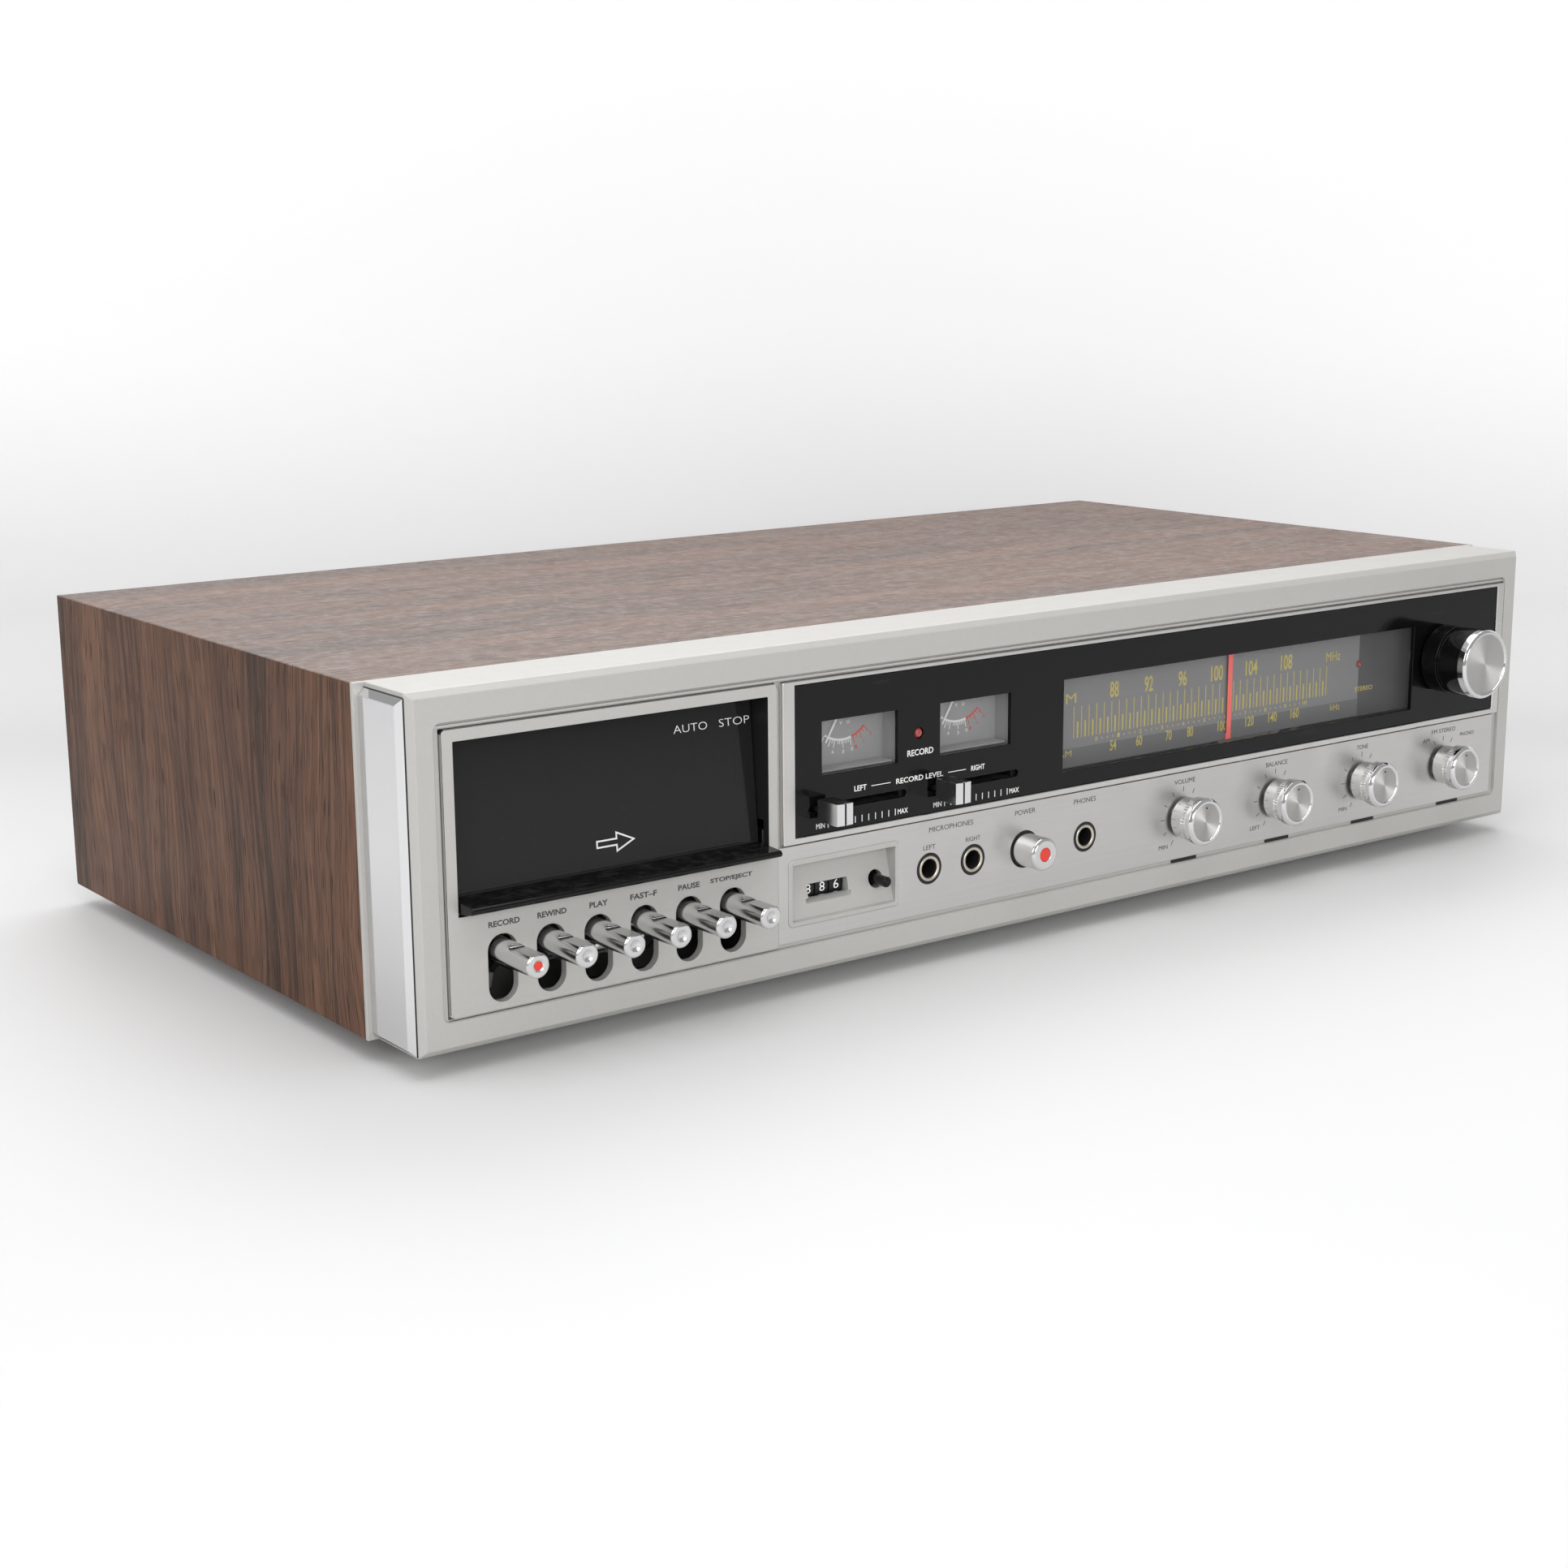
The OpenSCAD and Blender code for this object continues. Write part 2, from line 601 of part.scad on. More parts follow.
// Door: a smoked window that leans back, a finger lip and two swan-neck arms on the hinge.
module deck_door() {
    half = door_open_w / 2 - door_gap;
    top = door_z1 - door_gap;
    arm_x = rail_x - seat_gap;
    clear_r = 13.4;
    color([0.2, 0.2, 0.21]) placed() translate([deck_x, 0, 0]) difference() {
        union() {
            profile(-half, half) {
                polygon([
                    [window_y0, lip_z - 1], [window_y1, top],
                    [window_y1 + window_t, top], [window_y0 + window_t, lip_z - 1]
                ]);
                difference() {
                    polygon([
                        [-lip_out, lip_z - lip_t + 0.6], [-lip_out + 0.6, lip_z - lip_t],
                        [-0.4, door_z0 + 0.9], [window_y0 + window_t + 0.3, door_z0 + 0.9],
                        [window_y0 + window_t + 0.3, lip_z], [-lip_out + 0.6, lip_z], [-lip_out, lip_z - 0.6]
                    ]);
                    // The underside clears the panel's edge while the door swings
                    translate([hinge_y, hinge_z]) circle(clear_r);
                }
            }
            for (s = [-1, 1]) {
                x = s * (arm_x + arm_t / 2);
                profile(x - arm_t / 2, x + arm_t / 2) {
                    polygon([
                        [hinge_y + 1.2, hinge_z], [hinge_y + 1.2, door_z0 + 3.2],
                        [window_y0 + window_t, lip_z - 1], [window_y0 + window_t, hinge_z + 24],
                        [bay_y0 - 1.2, hinge_z + 24], [bay_y0 - 1.2, hinge_z]
                    ]);
                    translate([hinge_y, hinge_z]) circle(3.4);
                    translate([hinge_y, hinge_z - 2]) square([bay_y0 - 1.2 - hinge_y, 4]);
                }
            }
        }
        bar_x(hinge_y, hinge_z, hinge_pin_d / 2 + run_gap, -far, far);
    }
}

module door_hinge_pins() {
    x1 = flange_x;
    x0 = rail_x - seat_gap - 0.5;
    color("silver") placed() translate([deck_x, 0, 0]) for (s = [0, 1]) mirror([s, 0, 0]) {
        bar_x(hinge_y, hinge_z, hinge_pin_d / 2, x0, x1);
    }
}

// Carrier: rails behind the window that hold the cassette by its two short sides.
module cassette_carrier() {
    y0 = bay_y0 - 1.2;
    y1 = bay_y1 + 1;
    lip = 4.5;
    ledge_w = 13;
    color("darkgray") placed() translate([deck_x, 0, 0]) for (s = [0, 1]) mirror([s, 0, 0]) {
        box(rail_x, y0, bay_z - 1.5, rail_x + rail_t, bay_y1, rail_z1);
        box(rail_x - lip, bay_y1, hinge_z, rail_x + rail_t, y1, rail_z1);
        box(rail_x - lip, y0, hinge_z + 24, rail_x + rail_t, bay_y0, rail_z1);
        box(rail_x - ledge_w, y0, bay_z - 1.5, rail_x + rail_t, bay_y1, bay_z);
    }
}

// Chassis: the plate behind the bay, two side flanges on the pan and a strap at the back.
module deck_chassis() {
    z1 = deck_z1 - 0.3;
    color("lightsteelblue") placed() translate([deck_x, 0, 0]) difference() {
        union() {
            box(-flange_x, chassis_y, bay_z - 1, flange_x, chassis_y + chassis_t, z1);
            for (s = [0, 1]) mirror([s, 0, 0]) {
                box(flange_x - chassis_t, backing_y + 1, floor_z, flange_x, chassis_y1, hinge_z + 18);
                box(flange_x - chassis_t, chassis_y, floor_z, flange_x, chassis_y1, z1);
            }
            box(-flange_x, chassis_y1 - chassis_t, bay_z - 1, flange_x, chassis_y1, bay_z + 26);
            bar_y(pinch_x, capstan_z, capstan_r + 2.2, chassis_y, chassis_y + 14);
            for (x = [-1, 1]) {
                bar_y(x * reel_pitch / 2, reel_z, 3.4, chassis_y, chassis_y + chassis_t + 5);
            }
        }
        bar_y(pinch_x, capstan_z, capstan_r + run_gap, chassis_y - 1, chassis_y + 20);
        for (x = [-1, 1]) bar_y(x * reel_pitch / 2, reel_z, 1.5 + run_gap, chassis_y - 1, chassis_y + 20);
        bar_x(hinge_y, hinge_z, hinge_pin_d / 2, -far, far);
        bar_x(key_axis_y, key_axis_z, key_shaft_d / 2, -far, far);
        // Guides for the latch bar
        box(-far, latch_y0() - seat_gap, latch_z0() - seat_gap, far, latch_y1() + seat_gap, latch_z1() + seat_gap);
    }
}

// Keys

function key_place(i) = deck_x + key_x0 + i * key_pitch;

// A key: a chrome rod with a finger flat and a dimple, on an arm that turns on the key shaft.
module key(i) {
    r = key_d / 2;
    flat_z = key_z + 0.78 * r;
    root_y = 6;
    arm_z0 = key_axis_z - 4;
    arm_z1 = key_axis_z + 4;
    color("gainsboro") placed() translate([key_place(i), 0, 0]) difference() {
        union() {
            turned_y(0, key_z) polygon([
                [0, -key_out], [r - 0.5, -key_out], [r, -key_out + 0.5], [r, root_y - 1], [r - 1, root_y], [0, root_y]
            ]);
            profile(-key_arm_t / 2, key_arm_t / 2) polygon([
                [0, key_z - 2], [0, key_z + 2], [root_y + 0.5, key_z + 2], [root_y + 3.5, bay_z - 3],
                [12, arm_z1], [key_axis_y, arm_z1], [key_axis_y, arm_z0], [10, arm_z0], [root_y + 2.5, arm_z0 + 5]
            ]);
            bar_x(key_axis_y, key_axis_z, 4, -key_hub_w / 2, key_hub_w / 2);
        }
        bar_x(key_axis_y, key_axis_z, key_shaft_d / 2 + run_gap, -far, far);
        // Finger flat, with a scooped step behind it
        box(-far, -key_out - 1, flat_z, far, -key_out + 11, far);
        bar_x(-key_out + 11, flat_z + 1.6, 2, -far, far);
        // Dimple in the end
        bar_y(0, key_z, 1.7, -key_out - 1, -key_out + 0.5);
    }
}

module key_record() { key(0); }
module key_rewind() { key(1); }
module key_play() { key(2); }
module key_fast() { key(3); }
module key_pause() { key(4); }
module key_stop() { key(5); }

// Shaft through the side flanges, with a return spring beside each key's hub.
module key_shaft() {
    x = flange_x + 1.5;
    wire = 0.8;
    turns = 5;
    spring_r = key_shaft_d / 2 + 1;
    color("silver") placed() translate([deck_x, 0, 0]) {
        bar_x(key_axis_y, key_axis_z, key_shaft_d / 2, -x, x);
        for (i = [0:key_count - 1]) {
            start = key_x0 + i * key_pitch + key_hub_w / 2 + seat_gap;
            turned_x(key_axis_y, key_axis_z) difference() {
                for (t = [0:turns - 1]) translate([spring_r, start + wire * (t + 0.5)]) circle(d = wire * 1.2, $fn = 16);
                translate([0, start - 1]) square([key_shaft_d / 2 - eps, turns * wire + 2]);
            }
            turned_x(key_axis_y, key_axis_z) translate([key_shaft_d / 2 - eps, start]) {
                square([0.8, turns * wire]);
            }
        }
    }
}

function latch_y0() = chassis_y + chassis_t + 4;
function latch_y1() = latch_y0() + 8;
function latch_z0() = key_axis_z + 4 + 1;
function latch_z1() = latch_z0() + 1.2;

// Latch bar: a strip above the key arms that holds them down and lets them go.
module latch_bar() {
    x = flange_x + 3;
    color("silver") placed() translate([deck_x, 0, 0]) slab(latch_z0(), latch_z1()) difference() {
        rect(-x, latch_y0(), x, latch_y1());
        for (i = [0:key_count - 1]) translate([key_x0 + i * key_pitch, 0]) {
            round_rect(-2.5, latch_y0() + 2, 3.5, latch_y1() - 2, 0.8);
        }
    }
}

// Head slide: a comb plate whose fingers pass between the key arms and carry the heads and
// the pinch roller's axle.
module head_slide() {
    finger = 5.4;
    z0 = bay_z - 12.5;
    z1 = bay_z + 15;
    head_y0 = bay_y0 + 1;
    slot_r = capstan_r + 0.8;
    color("darkgray") placed() translate([deck_x, 0, 0]) {
        plate(slide_y0, slide_y0 + slide_t) difference() {
            union() {
                rect(-30, bay_z, 30, z1);
                for (x = [-key_pitch, 0, key_pitch]) rect(x - finger, z0, x + finger, bay_z + 1);
            }
            // Slot that clears the capstan as the slide lifts
            round_rect(
                pinch_x - slot_r, capstan_z - head_lift - slot_r, pinch_x + slot_r, capstan_z + slot_r, slot_r - eps
            );
        }
        // Record and play head, erase head and their tape guides
        box(-5.4, head_y0, z0 + 2, 5.4, slide_y0 + eps, bay_z - 2.5);
        box(-key_pitch - 4, head_y0 + 2, z0 + 3, -key_pitch + 4, slide_y0 + eps, bay_z - 2.5);
        for (x = [0, -key_pitch]) translate([x, 0, 0]) profile(-3.4, 3.4) {
            polygon([[head_y0 + 2, bay_z - 2.6], [slide_y0 - 2, bay_z - 2.6], [slide_y0 - 4, bay_z - 1], [head_y0 + 4, bay_z - 1]]);
        }
        bar_y(pinch_x, pinch_z, 1.2, bay_y0 + 0.5, slide_y0 + eps);
    }
}

module pinch_roller() {
    y0 = bay_y0 + 2;
    color([0.15, 0.15, 0.15]) placed() translate([deck_x, 0, 0]) turned_y(pinch_x, pinch_z) {
        polygon([
            [1.2 + run_gap, y0], [pinch_r - 0.4, y0], [pinch_r, y0 + 0.4], [pinch_r, y0 + 7.6],
            [pinch_r - 0.4, y0 + 8], [1.2 + run_gap, y0 + 8]
        ]);
    }
}

// Reel table: a splined spindle in front of the plate and a disc behind it, on one shaft.
module reel(x) {
    tip = bay_y0 + 2;
    disc_y = chassis_y + chassis_t + 5 + seat_gap;
    color("whitesmoke") placed() translate([deck_x + x, 0, 0]) {
        turned_y(0, reel_z) polygon([
            [0, tip], [1.6, tip], [2.7, tip + 2], [2.7, chassis_y - 1.6], [4.6, chassis_y - 1.6],
            [4.6, chassis_y - seat_gap], [1.5, chassis_y - seat_gap], [1.5, disc_y], [12, disc_y],
            [12, disc_y + 1], [10.5, disc_y + 1.6], [12, disc_y + 2.2], [12, disc_y + 3], [0, disc_y + 3]
        ]);
        for (a = [0:60:300]) translate([0, 0, reel_z]) rotate([0, a, 0]) {
            box(2.3, tip + 2.5, -0.5, 4.4, chassis_y - 1.5, 0.5);
        }
    }
}

module supply_reel() { reel(-reel_pitch / 2); }
module takeup_reel() { reel(reel_pitch / 2); }

// Capstan shaft with its flywheel, whose rim is crowned for the belt.
module capstan_flywheel() {
    y0 = flywheel_y;
    y1 = flywheel_y + flywheel_t;
    r = flywheel_r;
    color("silver") placed() translate([deck_x, 0, 0]) turned_y(pinch_x, capstan_z) polygon([
        [0, bay_y0 + 2], [capstan_r, bay_y0 + 2], [capstan_r, y0], [6, y0], [6, y0 + 2], [r - 7, y0 + 2],
        [r - 7, y0], [r - 0.4, y0], [r, belt_y], [r - 0.4, y1], [r - 7, y1], [r - 7, y1 - 2], [6, y1 - 2],
        [6, y1], [1.5, y1], [1.5, chassis_y1 - chassis_t - seat_gap], [0, chassis_y1 - chassis_t - seat_gap]
    ]);
}

// Flat belt round the motor pulley and the flywheel.
module belt_outline(g) {
    hull() {
        translate([motor_x, motor_z]) circle(motor_pulley_r + seat_gap + g, $fn = 32);
        translate([pinch_x, capstan_z]) circle(flywheel_r + seat_gap + g, $fn = 64);
    }
}

module drive_belt() {
    color([0.1, 0.1, 0.1]) placed() translate([deck_x, 0, 0]) plate(belt_y - belt_w / 2, belt_y + belt_w / 2) {
        difference() {
            belt_outline(belt_t);
            belt_outline(0);
        }
    }
}

module deck_motor() {
    y0 = motor_y0;
    y1 = motor_y0 + motor_l;
    r = motor_r;
    color("silver") placed() translate([deck_x, 0, 0]) difference() {
        turned_y(motor_x, motor_z) polygon([
            [0, y0], [r - 2, y0], [r - 2, y0 + 1], [r, y0 + 3], [r, y1 - 1.5], [r - 1.5, y1], [0, y1]
        ]);
        bar_y(motor_x, motor_z, 1 + run_gap, y1 - 12, y1 + 1);
    }
}

module motor_pulley() {
    y1 = motor_y0 + motor_l;
    r = motor_pulley_r;
    color("goldenrod") placed() translate([deck_x, 0, 0]) turned_y(motor_x, motor_z) polygon([
        [0, y1 - 11], [1, y1 - 11], [1, y1 + 1], [r + 1.2, y1 + 1], [r + 1.2, belt_y - belt_w / 2 - 1],
        [r, belt_y - belt_w / 2 - 0.4], [r, belt_y + belt_w / 2 + 0.4], [r + 1.2, belt_y + belt_w / 2 + 1],
        [r + 1.2, belt_y + belt_w / 2 + 2], [0, belt_y + belt_w / 2 + 2]
    ]);
}

// Dial

module dial_frame() {
    color("gainsboro") placed() plate(0, frame_t) difference() {
        round_rect(frame_x0, frame_z0, frame_x1, frame_z1, 0.8);
        rect(panel_x0, panel_z0, panel_x1, panel_z1);
    }
}

function meter_places() = [meter_x, meter_x + meter_pitch];
function lamp_place() = [meter_x + meter_pitch / 2, (meter_z0 + meter_z1) / 2];

// Slots and round holes that the panel and the lens share, larger by g all round.
module panel_holes(g) {
    h = slider_slot_h / 2 + g;
    for (i = [0, 1]) {
        x = slider_x + i * meter_pitch;
        round_rect(x - slot_end - g, slider_z - h, x + slider_travel + slot_end + g, slider_z + h, h - eps);
    }
    translate(lamp_place()) circle(d = lamp_d + 0.2 + 2 * g);
    translate([tuning_x, tuning_z]) circle(d = tuning_shaft_d + 1 + 2 * g);
}

module dial_panel() {
    g = 0.15;
    color([0.12, 0.12, 0.12]) placed() plate(panel_sink, frame_t) difference() {
        rect(panel_x0 + g, panel_z0 + g, panel_x1 - g, panel_z1 - g);
        for (x = meter_places()) rect(x - meter_w / 2, meter_z0, x + meter_w / 2, meter_z1);
        rect(dial_x0, dial_z0, dial_x1, dial_z1);
        panel_holes(0);
    }
}

module dial_lens() {
    g = ledge + seat_gap;
    color([0.35, 0.35, 0.37, 0.5]) placed() plate(lens_y0, lens_y1) difference() {
        rect(panel_x0 + g, panel_z0 + g, panel_x1 - g, panel_z1 - g);
        panel_holes(0.3);
    }
}

// Scale plate, held off the lens by its bent ends, with the bush of the tuning shaft and the
// two cord idlers on its back.
module dial_scale() {
    y1 = scale_y + scale_t;
    boss_y = scale_y - 2;
    idlers = [scale_x0 + 6, scale_x1 - 6];
    color("dimgray") placed() difference() {
        union() {
            plate(scale_y, y1) rect(scale_x0, scale_z0 + 3, scale_x1, scale_z1);
            for (x = [scale_x0, scale_x1 - scale_t]) {
                box(x, lens_y1, scale_z0 + 3, x + scale_t, y1, panel_z1 - ledge - 1);
            }
            bar_y(tuning_x, tuning_z, tuning_shaft_d / 2 + 3, boss_y, y1 + 1.6);
            for (x = idlers) {
                bar_y(x, idler_z, 1.5, scale_y, cord_y + 2.4);
                bar_y(x, idler_z, idler_r, cord_y - cord_t / 2 - 0.2, cord_y + cord_t / 2 + 0.2);
                for (s = [-1, 1]) {
                    y = cord_y + s * (cord_t / 2 + 0.7);
                    bar_y(x, idler_z, idler_r + 1, y - 0.5, y + 0.5);
                }
            }
        }
        bar_y(tuning_x, tuning_z, tuning_shaft_d / 2 + run_gap, 0, y1 + 5);
        bar_y(stereo_place()[0], stereo_place()[1], 1.6, 0, y1 + 5);
    }
}

function stereo_place() = [stereo_x, tuning_z];

// Pointer: a saddle over the top edge of the scale plate, with the red bar in front of it.
module dial_pointer() {
    z1 = cord_top + seat_gap;
    bar_y1 = scale_y - 0.6;
    bar_y0 = bar_y1 - 0.6;
    color("tomato") placed() translate([pointer_x, 0, 0]) {
        box(-5, bar_y0, scale_z1 - 6, 5, scale_y - seat_gap, z1);
        box(-5, bar_y0, z1 - eps, 5, cord_y + cord_t, z1 + 1.1);
        box(-5, scale_y + scale_t + seat_gap, scale_z1 - 4, 5, scale_y + scale_t + 1.3, z1 + eps);
        box(-pointer_w / 2, bar_y0, dial_z0 + 1, pointer_w / 2, bar_y1, scale_z1 - 6 + eps);
    }
}

// Tuning knob: a black drum with one groove and a chrome cap with a sunk face.
module tuning_knob() {
    r = tuning_knob_r;
    y0 = -tuning_knob_l - 1;
    y1 = -1;
    cap = 3.5;
    groove = y0 + 0.62 * tuning_knob_l;
    color([0.08, 0.08, 0.08]) placed() difference() {
        turned_y(tuning_x, tuning_z) polygon([
            [0, y0 + 0.6], [r - 1.7, y0 + 0.6], [r - 1.5, y0], [r - 0.7, y0], [r, y0 + 0.8], [r, y0 + cap],
            [r - 0.25, y0 + cap], [r - 0.25, groove - 0.7], [r - 1.3, groove - 0.7], [r - 1.3, groove + 0.7],
            [r - 0.25, groove + 0.7], [r - 0.25, y1 - 0.5], [r - 0.75, y1], [r - 2, y1], [r - 2, y1 - 9],
            [5.5, y1 - 9], [5.5, y1 - 1], [0, y1 - 1]
        ]);
        bar_y(tuning_x, tuning_z, tuning_shaft_d / 2, y1 - 13, 1);
    }
}

module tuning_shaft() {
    r = tuning_shaft_d / 2;
    y1 = scale_y + scale_t + 1.6 + seat_gap;
    color("silver") placed() turned_y(tuning_x, tuning_z) polygon([
        [0, -14], [r, -14], [r, y1], [spindle_r + 1, y1], [spindle_r, cord_y - 0.9], [spindle_r, cord_y + 0.9],
        [spindle_r + 1, cord_y + 1.8], [r, cord_y + 1.8], [r, 24], [tuner_wheel_r, 24], [tuner_wheel_r, 31],
        [tuner_wheel_r - 1, 32], [r, 32], [r, 36], [0, 36]
    ]);
}

// Tuning capacitor: a screened box on the main board with the bush of the drum's shaft.
module tuning_capacitor() {
    z0 = board_z + pcb_t;
    z1 = z0 + capacitor_size[2];
    half = capacitor_size[0] / 2;
    y0 = capacitor_y;
    y1 = y0 + capacitor_size[1];
    rib_pitch = (capacitor_size[1] - 2) / 6;
    color("silver") placed() difference() {
        union() {
            box(drum_x - half, y0, z0, drum_x + half, y1, z1);
            for (i = [0:5]) {
                y = y0 + rib_pitch * (i + 0.5);
                box(drum_x - half - 1, y, z0 + 4, drum_x + half + 1, y + 2, z1 - 4);
            }
            bar_y(drum_x, drum_z, 5, cord_y + 5, y0);
        }
        bar_y(drum_x, drum_z, 3 + run_gap, cord_y, cord_y + 24);
    }
}

// Cord drum: a grooved wheel on the capacitor's shaft, with three windows in its web.
module cord_drum() {
    y0 = cord_y - 2;
    y1 = cord_y + 2;
    r = drum_r;
    color("whitesmoke") placed() difference() {
        turned_y(drum_x, drum_z) polygon([
            [0, y0], [5, y0], [5, y0 + 1], [r - 3, y0 + 1], [r - 3, y0], [r, y0],
            [r, cord_y - cord_t], [r - 0.6, cord_y - cord_t / 2], [r - 0.6, cord_y + cord_t / 2], [r, cord_y + cord_t],
            [r, y1], [r - 3, y1], [r - 3, y1 - 1], [5, y1 - 1], [5, y1 + 2], [3, y1 + 2], [3, 38], [0, 38]
        ]);
        for (a = [0:120:240]) translate([drum_x, 0, drum_z]) rotate([0, a, 0]) {
            bar_y(0.54 * r, 0, 0.2 * r, 0, y1 + 1);
        }
    }
}

// Dial cord: one loop over the idlers, round the drum and the tuning spindle.
module cord_outline(g) {
    hull() {
        for (x = [scale_x0 + 6, scale_x1 - 6]) translate([x, idler_z]) circle(idler_r + g, $fn = 24);
        translate([drum_x, drum_z]) circle(drum_r + g, $fn = 64);
        translate([tuning_x, tuning_z]) circle(spindle_r + g, $fn = 24);
    }
}

module dial_cord() {
    color("khaki") placed() plate(cord_y - cord_t / 2, cord_y + cord_t / 2) difference() {
        cord_outline(cord_gap + cord_t);
        cord_outline(cord_gap);
    }
}

// Level meters, their lamps and the level controls

// Meter: an open-fronted case with a face plate and the needle's pivot pin.
module level_meters() {
    wall = 1;
    z0 = meter_z0 - 2.8;
    z1 = needle_z + 3.6;
    half = meter_w / 2 + 2.3;
    color("lightgray") placed() for (x = meter_places()) translate([x, 0, 0]) {
        plate(lens_y1, 24) difference() {
            round_rect(-half, z0, half, z1, 1.5);
            rect(-half + wall, z0 + wall, half - wall, z1 - wall);
        }
        plate(23, 24) rect(-half + wall - eps, z0 + wall - eps, half - wall + eps, z1 - wall + eps);
        plate(meter_face_y, meter_face_y + wall) {
            rect(-half + wall - eps, z0 + wall - eps, half - wall + eps, z1 - wall + eps);
        }
        bar_y(0, needle_z, 0.8, meter_face_y - 3, meter_face_y + eps);
    }
}

// Needle: a flat arm that hangs from its hub, with a short tail above it.
module needle(x) {
    y1 = meter_face_y - 0.6;
    color("white") placed() translate([x, 0, needle_z]) rotate([0, needle_rest, 0]) difference() {
        union() {
            bar_y(0, 0, 1.8, y1 - 1.2, y1);
            box(-0.3, y1 - 0.9, -needle_l, 0.3, y1 - 0.5, 2.4);
        }
        bar_y(0, 0, 0.8 + run_gap, 0, y1 + 1);
    }
}

module needle_left() { needle(meter_places()[0]); }
module needle_right() { needle(meter_places()[1]); }

// Record lamp in the panel and stereo lamp in the scale plate, each with its leads.
module indicator_lamps() {
    color("firebrick") placed() {
        translate([lamp_place()[0], 0, lamp_place()[1]]) {
            turned_y(0, 0) polygon([
                [0, 0.3], [lamp_d / 2 - 0.6, 0.4], [lamp_d / 2, 1.2], [lamp_d / 2, lens_y1],
                [lamp_d / 2 + 0.9, lens_y1], [lamp_d / 2 + 0.9, lens_y1 + 4], [0, lens_y1 + 4]
            ]);
            for (s = [-1, 1]) bar_y(s, 0, 0.3, lens_y1 + 4 - eps, lens_y1 + 12);
        }
        translate([stereo_place()[0], 0, stereo_place()[1]]) {
            turned_y(0, 0) polygon([
                [0, scale_y - 1.4], [0.9, scale_y - 1.2], [1.4, scale_y - 0.4], [1.4, scale_y + scale_t],
                [2.4, scale_y + scale_t], [2.4, scale_y + scale_t + 5], [0, scale_y + scale_t + 5]
            ]);
        }
    }
}

// Level control: a cap with a parted front on a flat stem.
module slider(i) {
    w = slider_cap[0] / 2;
    h = slider_cap[1] / 2;
    y0 = -slider_cap[2];
    part = 0.35;
    stem_h = slider_slot_h / 2 - 0.35;
    color([0.1, 0.1, 0.1]) placed() translate([slider_x + i * meter_pitch, 0, slider_z]) {
        slab(-h, h) polygon([
            [-w, -1.6], [-w, y0 + 0.3], [-part, y0], [-part, y0 + 0.8], [part, y0 + 0.8], [part, y0],
            [w, y0 + 0.3], [w, -1.6]
        ]);
        box(-2, -1.6 - eps, -stem_h, 2, lens_y1 + 8, stem_h);
    }
}

module slider_left() { slider(0); }
module slider_right() { slider(1); }

// Slide resistors: a slotted front plate on the lens and a box behind it.
module slide_pots() {
    y0 = lens_y1;
    h = 5;
    x0 = -slot_end - 2;
    x1 = slider_travel + slot_end + 2;
    color("darkkhaki") placed() for (i = [0, 1]) translate([slider_x + i * meter_pitch, 0, slider_z]) difference() {
        union() {
            box(x0, y0, -h, x1, y0 + 1, h);
            box(x0 + 1, y0 + 1 - eps, -h + 1, x1 - 1, y0 + 12, h - 1);
        }
        box(-slot_end + 1, y0 - 1, -1.6, slider_travel + slot_end - 1, y0 + 9, 1.6);
    }
}

// Control strip

module control_strip() {
    color("silver") placed() plate(strip_y, strip_y1) difference() {
        rect(strip_x0, strip_z0, strip_x1, strip_z1);
        strip_holes(0);
    }
}

// Bodies behind the strip: four rotary controls with their bushes and nuts, and the power switch.
module control_units() {
    y0 = backing_y;
    shaft_r = control_shaft_d / 2;
    color("darkgray") placed() {
        for (i = [0:3]) translate([knob_x + i * knob_pitch, 0, row_z]) difference() {
            union() {
                turned_y(0, 0) polygon([
                    [0, strip_y - 1.2], [bush_r, strip_y - 1.2], [bush_r, y0], [pot_r - 0.6, y0],
                    [pot_r, y0 + 0.6], [pot_r, y0 + pot_l], [0, y0 + pot_l]
                ]);
                translate([0, strip_y, 0]) rotate([90, 30, 0]) cylinder(r = 6, h = 0.9, $fn = 6);
                box(-8, y0 + 2, -pot_r - 3, 8, y0 + 3.4, -pot_r + 4);
            }
            bar_y(0, 0, shaft_r + run_gap, -5, y0 + pot_l - 1);
        }
        translate([power_x, 0, row_z]) difference() {
            box(-11, y0, -8.5, 11, y0 + 23, 8.5);
            bar_y(0, 0, power_d / 2 + 0.4, y0 - 1, y0 + power_travel + 7);
            bar_y(0, 0, 3 + 0.2, y0, y0 + power_travel + 16);
        }
    }
}

// Plug sockets: an insulating body with a metal bush and the plug's bore.
module jack_sockets() {
    r = jack_bore_d / 2;
    y0 = strip_y - 0.1;
    color([0.15, 0.15, 0.15]) placed() for (x = concat(mic_x, [phones_x])) translate([x, 0, row_z]) difference() {
        union() {
            turned_y(0, 0) polygon([
                [0, y0], [jack_bush_d / 2 - 0.2, y0], [jack_bush_d / 2, y0 + 0.2], [jack_bush_d / 2, y0 + 0.9],
                [jack_hole_d / 2 - 0.1, y0 + 0.9], [jack_hole_d / 2 - 0.1, backing_y + 1], [0, backing_y + 1]
            ]);
            box(-6.6, backing_y, -6.6, 6.6, backing_y + 19, 6.6);
        }
        turned_y(0, 0) polygon([
            [0, y0 - 1], [r + 0.45 + 1, y0 - 1], [r, y0 + 0.45], [r, backing_y + 17], [0, backing_y + 17]
        ]);
    }
}

